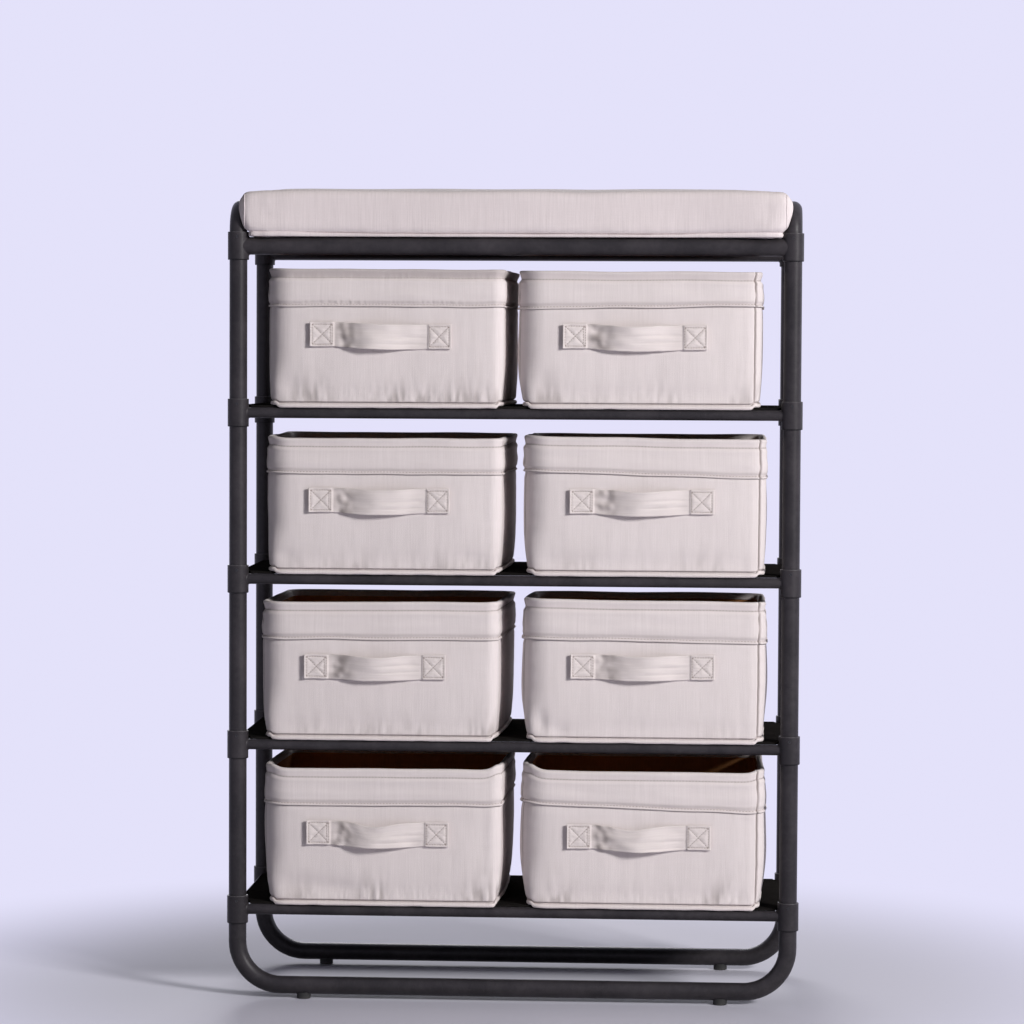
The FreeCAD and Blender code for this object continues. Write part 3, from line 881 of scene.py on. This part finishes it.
def fit_cushion(pad, low, high, loops):
    """Brings the filled pad to its real size, flat underneath, and lets it swell past the loops' tubes."""
    co = [v.co for v in pad.data.vertices]
    lo = Vector([min(c[i] for c in co) for i in range(3)])
    hi = Vector([max(c[i] for c in co) for i in range(3)])
    swell = Vector((2 * MM, 1 * MM, 1 * MM))
    want_lo, want_hi = low - swell, high + swell
    want_lo.z = low.z - 4 * MM
    middle_y, half_y = (low.y + high.y) / 2, (high.y - low.y) / 2
    for vert in pad.data.vertices:
        for i in range(3):
            share = (vert.co[i] - lo[i]) / (hi[i] - lo[i])
            vert.co[i] = want_lo[i] + share * (want_hi[i] - want_lo[i])
        at = vert.co
        at.z = max(at.z, low.z)
        edge = max(abs(at.x) - (high.x - crown_width), abs(at.y - middle_y) - (half_y - crown_width))
        edge /= crown_width
        full = (at.z - low.z) / (high.z - low.z)
        at.z += crown_back * smooth(0, 0.8, edge) * smooth(0.35, 0.9, full) * (1 - smooth(0.9, 1.06, edge))
        past = 1 - smooth(loops.front - 4 * MM, loops.front + 14 * MM, at.y)
        past += smooth(loops.rear - 14 * MM, loops.rear + 4 * MM, at.y)
        end = smooth(0.85 * high.x, high.x, abs(at.x))
        at.x += math.copysign(13 * MM * end * past * bump(at.z, low.z + 42 * MM, 36 * MM), at.x)
        vert.co = loops.clear(at)


def crumple(pad, low, high, loops):
    """Small folds that the cover has at its corners and along its sides."""
    normals = [v.normal.copy() for v in pad.data.vertices]
    for vert, normal in zip(pad.data.vertices, normals):
        at = vert.co
        away = max(high.x - abs(at.x), (high.y - low.y) / 2 - abs(at.y - (low.y + high.y) / 2))
        foot = math.exp(-(at.z - low.z) / (16 * MM))
        push = ripple(at, (0.012, 0.012, 0.028)) * 0.9 * MM * bump(away, 0, 50 * MM)
        push += ripple(at, (0.10, 0.10, 0.05)) * 1.0 * MM
        push += ripple(at, (0.017, 0.017, 0.012)) * 0.8 * MM * foot
        vert.co = loops.clear(at + normal * push * smooth(low.z, low.z + 9 * MM, at.z))


def thread_tube(name, line, radius):
    """A round cord of cloth along a list of points, with closed ends."""
    sides_round = 8

    def place(column, row):
        before, after = line[max(column - 1, 0)], line[min(column + 1, len(line) - 1)]
        ahead = (after - before).normalized()
        across = ahead.cross(Vector((1, 0, 0))).normalized()
        turn = 2 * math.pi * row / sides_round
        out = (across * math.cos(turn) + ahead.cross(across) * math.sin(turn)) * radius
        return line[column] + out, (radius * turn, column * 0.004), 0.0

    return cloth_grid(name, len(line) - 1, sides_round, place, capped=True)


def cushion_edging(pad):
    """The flat band round the pad's foot and the sewn corners, laid on the filled pad."""
    low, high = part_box("cushion_cover")
    tree = BVHTree.FromPolygons([v.co for v in pad.data.vertices], [p.vertices[:] for p in pad.data.polygons])
    middle = (low + high) / 2
    loops = Loops()

    def hit(point, ahead):
        return tree.ray_cast(point - ahead * 0.2, ahead)[0]

    half_x, half_y = (high.x - low.x) / 2, (high.y - low.y) / 2
    course = walk(half_x, half_y, (22 * MM,) * 4, (0.5,) * 4)
    feet = {}
    for station in course[0]:
        point = Vector((station.point.x, middle.y + station.point.y, low.z + 7 * MM))
        feet[station] = hit(point, -station.outward) or point
    section = [(-7.0 * MM, 0.4 * MM), (0.0 * MM, 0.4 * MM), (1.0 * MM, 1.2 * MM), (1.5 * MM, 3.0 * MM),
               (1.3 * MM, 4.8 * MM), (0.5 * MM, 6.0 * MM), (-0.9 * MM, 6.4 * MM), (-7.0 * MM, 5.0 * MM)]

    def shape(station, out, z):
        foot = feet[station]
        at = Vector((foot.x, foot.y, 0))
        swelling = 0.72 + 0.5 * smooth(0.5 * half_x, half_x, abs(foot.x))
        swelling += 0.22 * ripple(at, (0.05, 0.05, 1), Vector((0, 0, 3.1)))
        sway = 0.7 * MM * ripple(at, (0.03, 0.03, 1), Vector((0, 0, 7.7)))
        place = at + station.outward * (out * (1 if out < 0 else swelling) + sway * 0.5)
        place.z = low.z + z * swelling
        return loops.clear(place)

    band = swept("cushion_edging", section, course, shape)
    seams = []
    for x, ahead in cushion_seams:
        line = []
        for i in range(27):
            z = low.z + 7 * MM + i * 2.2 * MM
            wander = 0.8 * MM * ripple((x, z, 0), (1, 0.015, 1))
            start = Vector((x * MM + wander, middle.y - ahead * (half_y - 30 * MM), z))
            found = hit(start, Vector((0, ahead, 0)))
            if found:
                line.append(found)
        if len(line) > 4:
            seams.append(thread_tube("seam", line, 0.8 * MM))
    join(band, *seams)
    return band


def lay_cloth(obj):
    """A cloth map in metres, laid on each face along the plane it faces most."""
    layer = obj.data.uv_layers.new(name="cloth")
    for face in obj.data.polygons:
        facing = max((2, 1, 0), key=lambda i: abs(face.normal[i]))
        a, b = [i for i in range(3) if i != facing]
        for loop in face.loop_indices:
            at = obj.data.vertices[obj.data.loops[loop].vertex_index].co
            layer.data[loop].uv = (at[a], at[b])


# ---- Materials ---------------------------------------------------------------------------
# Painted shade: the colour that the cloth darkens towards in its seams, folds and shaded strips, by how much
# the crease attribute gives.
painted_shade_color = (0.17, 0.135, 0.12, 1)
painted_shade_share = 0.75
sleeve_length = 40 * MM


class Nodes:
    """Short calls that add nodes to one tree."""

    def __init__(self, tree):
        self.tree = tree

    def feed(self, socket, value):
        if isinstance(value, bpy.types.NodeSocket):
            self.tree.links.new(value, socket)
        else:
            socket.default_value = value

    def add(self, kind, fed=None, **settings):
        """A new node with its settings, and with what its sockets are fed, by name or number."""
        node = self.tree.nodes.new(kind)
        for name, value in settings.items():
            setattr(node, name, value)
        for name, value in (fed or {}).items():
            self.feed(node.inputs[name], value)
        return node

    def place(self):
        return self.add("ShaderNodeTexCoord").outputs["Object"]

    def math(self, operation, *values):
        return self.add("ShaderNodeMath", dict(enumerate(values)), operation=operation).outputs[0]

    def times(self, a, b):
        return self.math("MULTIPLY", a, b)

    def plus(self, a, b):
        return self.math("ADD", a, b)

    def noise(self, vector, scale, detail=2.0, roughness=0.5):
        fed = {"Vector": vector, "Scale": scale, "Detail": detail, "Roughness": roughness}
        return self.add("ShaderNodeTexNoise", fed).outputs["Fac"]

    def streaks(self, vector, fineness, detail=2.0):
        """Noise with its own fineness along each axis."""
        stretched = self.add("ShaderNodeVectorMath", {0: vector, 1: fineness}, operation="MULTIPLY")
        return self.noise(stretched.outputs[0], 1.0, detail)

    def split(self, vector):
        return self.add("ShaderNodeSeparateXYZ", {0: vector}).outputs

    def remap(self, value, low, high, to_low, to_high):
        fed = {"Value": value, "From Min": low, "From Max": high, "To Min": to_low, "To Max": to_high}
        return self.add("ShaderNodeMapRange", fed).outputs["Result"]

    def mix(self, share, a, b):
        return self.add("ShaderNodeMix", {0: share, 6: a, 7: b}, data_type="RGBA").outputs[2]

    def mix_shaders(self, share, a, b):
        return self.add("ShaderNodeMixShader", {0: share, 1: a.outputs[0], 2: b.outputs[0]}).outputs[0]

    def use(self, tree, **fed):
        return self.add("ShaderNodeGroup", fed, node_tree=tree).outputs


def new_group(name, inputs, outputs):
    """A shader node group with named sockets, and short calls for filling it. An input without a value is a
    vector, one with four numbers a color, and one with a single number a float."""
    tree = bpy.data.node_groups.new(name, "ShaderNodeTree")
    for socket, value in inputs.items():
        kind = "Vector" if value is None else "Color" if isinstance(value, tuple) else "Float"
        made = tree.interface.new_socket(socket, in_out="INPUT", socket_type="NodeSocket" + kind)
        if value is not None:
            made.default_value = value
    for socket, kind in outputs.items():
        tree.interface.new_socket(socket, in_out="OUTPUT", socket_type="NodeSocket" + kind)
    nodes = Nodes(tree)
    return nodes, nodes.add("NodeGroupInput").outputs, nodes.add("NodeGroupOutput").inputs


def woven_group():
    """Plain weave with slubby yarns. Cloth is in metres."""
    n, given, out = new_group("woven_cloth", dict(Cloth=None, Pitch=0.0008, Slub=0.5,
                                                  Light=(0.8, 0.8, 0.8, 1), Dark=(0.5, 0.5, 0.5, 1)),
                              dict(Color="Color", Height="Float", Shade="Float"))
    threads = n.math("DIVIDE", math.pi, given["Pitch"])
    stretch = n.add("ShaderNodeVectorMath", {0: given["Cloth"], "Scale": threads}, operation="SCALE")
    wander = n.times(n.noise(given["Cloth"], 260.0, 1.0), 1.6)
    x, y, _ = n.split(stretch.outputs[0])
    over = n.math("SINE", n.plus(x, wander))
    under = n.math("SINE", n.plus(y, wander))
    weave = n.remap(n.times(over, under), -1.0, 1.0, 0.0, 1.0)
    standing = n.streaks(given["Cloth"], (1300.0, 22.0, 0.0))
    broad = n.streaks(given["Cloth"], (280.0, 12.0, 0.0))
    lying = n.streaks(given["Cloth"], (30.0, 1200.0, 0.0))
    slubs = n.plus(n.plus(standing, n.times(broad, 0.5)), n.times(lying, 0.3))
    slubs = n.times(n.remap(slubs, 0.6, 1.2, 0.0, 1.0), given["Slub"])
    shade = n.plus(n.times(weave, 0.35), slubs)
    n.feed(out["Color"], n.mix(shade, given["Dark"], given["Light"]))
    n.feed(out["Height"], n.plus(weave, slubs))
    n.feed(out["Shade"], shade)
    return n.tree


def soil_group():
    """Slow uneven tone of handled cloth or old coating, on object coordinates."""
    n, given, out = new_group("uneven_tone", dict(Place=None, Size=6.0, Amount=0.5, Color=(0.8, 0.8, 0.8, 1),
                                                  Tint=(0.6, 0.5, 0.4, 1)), dict(Color="Color"))
    broad = n.noise(given["Place"], given["Size"], 3.0, 0.6)
    fine = n.noise(given["Place"], n.times(given["Size"], 9.0), 2.0)
    mask = n.plus(n.times(broad, 0.75), n.times(fine, 0.25))
    mask = n.times(n.remap(mask, 0.42, 0.68, 0.0, 1.0), given["Amount"])
    n.feed(out["Color"], n.mix(mask, given["Color"], given["Tint"]))
    return n.tree


def grain_group():
    """Fine orange-peel grain of a sprayed or moulded surface, with scattered specks."""
    n, given, out = new_group("sprayed_grain", dict(Place=None, Scale=700.0),
                              dict(Height="Float", Specks="Float"))
    specks = n.noise(given["Place"], n.times(given["Scale"], 1.7), 1.0)
    n.feed(out["Height"], n.noise(given["Place"], given["Scale"], 3.0, 0.6))
    n.feed(out["Specks"], n.remap(specks, 0.6, 0.72, 0.0, 1.0))
    return n.tree


def edge_group():
    """Rubbed and shadowed rings at the ends of the fittings, by the height from the nearest one's middle."""
    n, given, out = new_group("fitting_edges", dict(Place=None, Lowest=0.1, Pitch=0.2, Half=0.02),
                              dict(Rubbed="Float", Shadow="Float"))
    z = n.split(given["Place"])["Z"]
    half_pitch = n.times(given["Pitch"], 0.5)
    shifted = n.plus(n.math("SUBTRACT", z, given["Lowest"]), half_pitch)
    along = n.math("SUBTRACT", n.math("FLOORED_MODULO", shifted, given["Pitch"]), half_pitch)
    broken = n.remap(n.noise(given["Place"], 160.0, 2.0), 0.42, 0.6, 0.0, 1.0)
    to_top = n.math("ABSOLUTE", n.math("SUBTRACT", along, given["Half"]))
    to_foot = n.math("ABSOLUTE", n.plus(along, given["Half"]))
    rubbed = n.remap(to_top, 0.4 * MM, 1.5 * MM, 1.0, 0.0)
    n.feed(out["Rubbed"], n.times(rubbed, n.plus(n.times(broken, 0.6), 0.4)))
    n.feed(out["Shadow"], n.remap(to_foot, 0.5 * MM, 2.2 * MM, 1.0, 0.0))
    return n.tree


woven = woven_group()
uneven_tone = soil_group()
sprayed_grain = grain_group()
fitting_edges = edge_group()


def new_material(name):
    """A material, short calls for its tree, and its object's coordinates."""
    material = bpy.data.materials.new(name)
    material.use_nodes = True
    n = Nodes(material.node_tree)
    return material, n, n.place()


def feed_shader(n, color, roughness, relief, **constants):
    """Feeds a material's Principled BSDF. The relief is a height, a strength and a distance."""
    height, strength, distance = relief
    raised = n.add("ShaderNodeBump", {"Strength": strength, "Distance": distance, "Height": height})
    shader = n.tree.nodes["Principled BSDF"].inputs
    n.feed(shader["Base Color"], color)
    n.feed(shader["Roughness"], roughness)
    n.feed(shader["Normal"], raised.outputs["Normal"])
    for name, value in constants.items():
        shader[name.replace("_", " ")].default_value = value


def cloth_material(name, light, dark, tint, pitch, slub, relief=0.5):
    """Woven cloth with its own yarns and tone."""
    material, n, place = new_material(name)
    cloth = n.add("ShaderNodeUVMap", uv_map="cloth").outputs[0]
    weave = n.use(woven, Cloth=cloth, Pitch=pitch, Slub=slub, Light=light, Dark=dark)
    tone = n.use(uneven_tone, Place=place, Size=7.0, Amount=0.35, Color=weave["Color"], Tint=tint)
    # The crease attribute carries painted shade, which darkens the cloth's colour in its seams, folds and
    # shaded strips.
    depth = n.add("ShaderNodeAttribute", attribute_name="crease").outputs["Fac"]
    feed_shader(n, n.mix(n.times(depth, painted_shade_share), tone["Color"], painted_shade_color),
                n.remap(weave["Shade"], 0.0, 1.0, 0.95, 0.8), (weave["Height"], relief, 0.4 * MM),
                Specular_IOR_Level=0.25, Sheen_Weight=0.12, Sheen_Roughness=0.5)
    return material


def coated_steel(name, fitting=None):
    """Dark textured powder coat, rubbed lighter here and there, and along the edges of the fittings."""
    material, n, place = new_material(name)
    grain = n.use(sprayed_grain, Place=place, Scale=900.0)
    tone = n.use(uneven_tone, Place=place, Size=14.0, Amount=0.8, Color=(0.0240, 0.0215, 0.0245, 1),
                 Tint=(0.052, 0.046, 0.051, 1))
    color = n.mix(n.times(grain["Specks"], 0.4), tone["Color"], (0.095, 0.084, 0.086, 1))
    if fitting:
        lowest, pitch, half = fitting
        edges = n.use(fitting_edges, Place=place, Lowest=lowest, Pitch=pitch, Half=half)
        color = n.mix(n.times(edges["Rubbed"], 0.75), color, (0.12, 0.112, 0.118, 1))
        color = n.mix(n.times(edges["Shadow"], 0.8), color, (0.004, 0.004, 0.004, 1))
    feed_shader(n, color, n.remap(grain["Height"], 0.3, 0.7, 0.34, 0.48), (grain["Height"], 0.35, 0.25 * MM),
                Specular_IOR_Level=0.17)
    return material


def fitting_steel(name, nodes_like, pitch):
    """The powder coat for a stack of fittings that stand one pitch apart."""
    low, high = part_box(nodes_like)
    half = sleeve_length / 2
    return coated_steel(name, (low.z + half, pitch, half))


def board_material(name):
    """Black-faced board with pressed fibres."""
    material, n, place = new_material(name)
    fibres = n.streaks(place, (60.0, 700.0, 700.0), 3.0)
    tone = n.use(uneven_tone, Place=place, Size=9.0, Amount=0.5, Color=(0.009, 0.0082, 0.0082, 1),
                 Tint=(0.018, 0.0165, 0.016, 1))
    color = n.mix(n.remap(fibres, 0.4, 0.7, 0.0, 0.5), tone["Color"], (0.028, 0.025, 0.024, 1))
    feed_shader(n, color, n.remap(fibres, 0.3, 0.7, 0.8, 0.95), (fibres, 0.3, 0.2 * MM),
                Specular_IOR_Level=0.0)
    return material


def lining_material(name):
    """Brown paper-like lining inside the bins, with pressed fibres and scuffs."""
    material, n, place = new_material(name)
    cloth = n.add("ShaderNodeUVMap", uv_map="cloth").outputs[0]
    fibres = n.streaks(cloth, (500.0, 60.0, 0.0), 3.0)
    tone = n.use(uneven_tone, Place=place, Size=11.0, Amount=0.6, Color=(0.52, 0.225, 0.080, 1),
                 Tint=(0.32, 0.135, 0.050, 1))
    color = n.mix(n.remap(fibres, 0.4, 0.7, 0.0, 0.4), tone["Color"], (0.60, 0.29, 0.13, 1))
    height = n.plus(fibres, n.times(n.noise(place, 900.0, 2.0), 0.4))
    feed_shader(n, color, n.remap(fibres, 0.3, 0.7, 0.75, 0.9), (height, 0.4, 0.25 * MM),
                Specular_IOR_Level=0.25)
    return material


def rubber_material(name):
    """Black moulded rubber, dusty where it meets the floor."""
    material, n, place = new_material(name)
    grain = n.use(sprayed_grain, Place=place, Scale=1500.0)
    dusty = n.remap(n.split(place)["Z"], 0.0, 6 * MM, 0.5, 0.0)
    tone = n.use(uneven_tone, Place=place, Size=60.0, Amount=dusty, Color=(0.018, 0.018, 0.018, 1),
                 Tint=(0.12, 0.11, 0.10, 1))
    feed_shader(n, tone["Color"], n.remap(grain["Height"], 0.3, 0.7, 0.72, 0.9),
                (grain["Height"], 0.4, 0.2 * MM))
    return material


def screw_material(name, color, tint, low, high):
    """Plated or blackened steel with turning marks."""
    material, n, place = new_material(name)
    marks = n.streaks(place, (900.0, 900.0, 4000.0))
    tone = n.use(uneven_tone, Place=place, Size=180.0, Amount=0.6, Color=color, Tint=tint)
    feed_shader(n, tone["Color"], n.remap(marks, 0.3, 0.7, low, high), (marks, 0.2, 0.05 * MM), Metallic=1.0)
    return material


canvas = cloth_material("canvas", (0.85, 0.775, 0.775, 1), (0.71, 0.64, 0.635, 1), (0.76, 0.685, 0.68, 1),
                        pitch=0.75 * MM, slub=0.6)
piping_cloth = cloth_material("piping_cloth", (0.88, 0.80, 0.795, 1), (0.72, 0.645, 0.635, 1),
                              (0.76, 0.68, 0.67, 1), pitch=0.7 * MM, slub=0.5)
webbing = cloth_material("webbing", (0.89, 0.81, 0.80, 1), (0.70, 0.63, 0.615, 1), (0.78, 0.70, 0.69, 1),
                         pitch=1.1 * MM, slub=0.5, relief=0.8)
thread = cloth_material("thread", (0.40, 0.32, 0.29, 1), (0.27, 0.215, 0.195, 1), (0.33, 0.265, 0.24, 1),
                        pitch=0.5 * MM, slub=0.3)
linen = cloth_material("linen", (0.85, 0.765, 0.774, 1), (0.668, 0.593, 0.598, 1), (0.73, 0.655, 0.66, 1),
                       pitch=0.9 * MM, slub=0.7)
lining = lining_material("brown_lining")
shelf_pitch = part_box("shelf_1_deck")[0].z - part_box("shelf_2_deck")[0].z
steel = coated_steel("powder_coat")
tee_steel = fitting_steel("tee_powder_coat", "tee_fittings_front_left", shelf_pitch)
corner_steel = fitting_steel("corner_powder_coat", "corner_fitting_front_left", 1.0)
deck_board = board_material("deck_board")
foot_rubber = rubber_material("foot_rubber")
zinc = screw_material("zinc_screw", (0.62, 0.62, 0.63, 1), (0.40, 0.38, 0.35, 1), 0.25, 0.45)
black_screw = screw_material("black_screw", (0.05, 0.05, 0.052, 1), (0.10, 0.09, 0.085, 1), 0.35, 0.55)


def finish_as(obj, material):
    """Gives every slot of an object one material."""
    if not obj.material_slots:
        obj.data.materials.append(material)
    for slot in obj.material_slots:
        slot.material = material


def dress_frame():
    """Finishes by the start of a node's name. What starts as none of them is tube."""
    finishes = (("foot_pads", foot_rubber), ("foot_screws", zinc), ("sleeve_grub_screws", black_screw),
                ("tee_fittings", tee_steel), ("corner_fitting", corner_steel), ("", steel))
    for name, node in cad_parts.items():
        if name.endswith("_deck"):
            finish_as(node, deck_board)
        elif not name.startswith(("bin_", "cushion_")):
            finish_as(node, next(finish for start, finish in finishes if name.startswith(start)))


def place_piece(piece, body, material, second=None):
    """Gives a new piece its finish and body. Faces marked for it take the second material."""
    finish_as(piece, material)
    if second:
        piece.data.materials.append(second)
    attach(piece, body)
    return piece


def build_bins():
    for row in rows:
        for side in sides:
            box = Bin(row, side)
            strap = Strap(box)
            body = place_piece(bin_body(box), box.name, canvas, lining)
            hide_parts(box.name + "_shell", box.name + "_boards")
            place_piece(bin_cuff(box), box.name, canvas)
            place_piece(bin_piping(box), box.name, piping_cloth)
            handle = place_piece(bin_strap(box, strap), box.name, webbing)
            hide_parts(box.name + "_handle")
            place_piece(bin_stitching(box, strap), box.name, thread)


# ---- Stage -------------------------------------------------------------------------------
backdrop = (0.774, 0.759, 0.956, 1)
floor_grey = (0.62, 0.61, 0.70, 1)
floor_radius = 9.0
floor_fade = (0.5, 1.2)           # where the floor turns into the backdrop, from the middle
world_light = (0.98, 0.98, 1.0, 1)
world_strength = 0.105
lens, sensor_width = 123.9, 36.0
camera_place = (0.3010, -5.15195, 0.9274)
camera_turn = (3.46, 2.565, 0.278)     # degrees to the left, downwards and rolled
lamp_aim = Vector((0, 0, 0.6))
lamps = {                         # place, diameter, watts and color
    "key": ((3.94, -3.76, 2.60), 1.2, 305, (1.0, 0.985, 0.97)),
    "side": ((3.0, 1.6, 1.5), 1.6, 8, (0.90, 0.92, 1.0)),
    "back": ((-0.6, 4.3, 2.3), 2.0, 70, (0.98, 0.98, 1.0)),
}


def seen_directly(n):
    """1 for what the camera sees, also in a mirror or through glass."""
    path = n.add("ShaderNodeLightPath").outputs
    seen = n.math("MAXIMUM", path["Is Camera Ray"], path["Is Glossy Ray"])
    return n.math("MAXIMUM", seen, path["Is Transmission Ray"])


def build_world():
    world = bpy.data.worlds.new("studio")
    bpy.context.scene.world = world
    world.use_nodes = True
    n = Nodes(world.node_tree)
    light = n.tree.nodes["Background"]
    light.inputs["Color"].default_value = world_light
    light.inputs["Strength"].default_value = world_strength
    shown = n.add("ShaderNodeBackground", {"Color": backdrop})
    n.feed(n.tree.nodes["World Output"].inputs["Surface"], n.mix_shaders(seen_directly(n), light, shown))


def build_floor():
    """Pale floor that keeps the object's shadow and fades into the backdrop further off."""
    bm = bmesh.new()
    bmesh.ops.create_circle(bm, cap_ends=True, segments=96, radius=floor_radius)
    floor = finish_mesh("floor", bm)
    material, n, place = new_material("floor_paint")
    shader = n.tree.nodes["Principled BSDF"]
    shader.inputs["Roughness"].default_value = 0.7
    shader.inputs["Base Color"].default_value = floor_grey
    distance = n.add("ShaderNodeVectorMath", {0: place}, operation="LENGTH").outputs["Value"]
    fade = n.add("ShaderNodeMapRange", {"Value": distance, "From Min": floor_fade[0],
                                        "From Max": floor_fade[1]}, interpolation_type="SMOOTHSTEP")
    glow = n.add("ShaderNodeEmission", {"Color": backdrop})
    shown = n.mix_shaders(n.times(fade.outputs["Result"], seen_directly(n)), shader, glow)
    n.feed(n.tree.nodes["Material Output"].inputs["Surface"], shown)
    floor.data.materials.append(material)
    floor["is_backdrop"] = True


def lamp(name, place, size, watts, color):
    data = bpy.data.lights.new(name, "AREA")
    data.shape = "DISK"
    data.size = size
    data.energy = watts
    data.color = color
    made = bpy.data.objects.new(name, data)
    made.location = place
    made.rotation_euler = (lamp_aim - Vector(place)).to_track_quat("-Z", "Y").to_euler()
    bpy.context.scene.collection.objects.link(made)


def build_camera():
    """Long lens a little right of the middle, turned left and slightly down."""
    data = bpy.data.cameras.new("camera")
    data.sensor_width = sensor_width
    data.lens = lens
    camera = bpy.data.objects.new("camera", data)
    yaw, pitch, roll = [math.radians(angle) for angle in camera_turn]
    ahead = Vector((-math.sin(yaw), math.cos(yaw), 0)) * math.cos(pitch) - up * math.sin(pitch)
    level = Vector((math.cos(yaw), math.sin(yaw), 0))
    raised = level.cross(ahead)
    right = level * math.cos(roll) + raised * math.sin(roll)
    top = raised * math.cos(roll) - level * math.sin(roll)
    turn = Matrix((right, top, -ahead)).transposed().to_4x4()
    camera.matrix_world = Matrix.Translation(camera_place) @ turn
    bpy.context.scene.collection.objects.link(camera)
    bpy.context.scene.camera = camera


build_camera()
build_world()
build_floor()
for lamp_name, lamp_values in lamps.items():
    lamp(lamp_name, *lamp_values)
bpy.context.scene.view_settings.view_transform = "Standard"

dress_frame()
build_bins()
cushion = place_piece(build_cushion(), "cushion", linen)
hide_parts("cushion_cover", "cushion_foam", "cushion_board")
place_piece(cushion_edging(cushion), "cushion", linen)

sizes = [[list(corner) for corner in box] for box in (cad_box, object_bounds())]
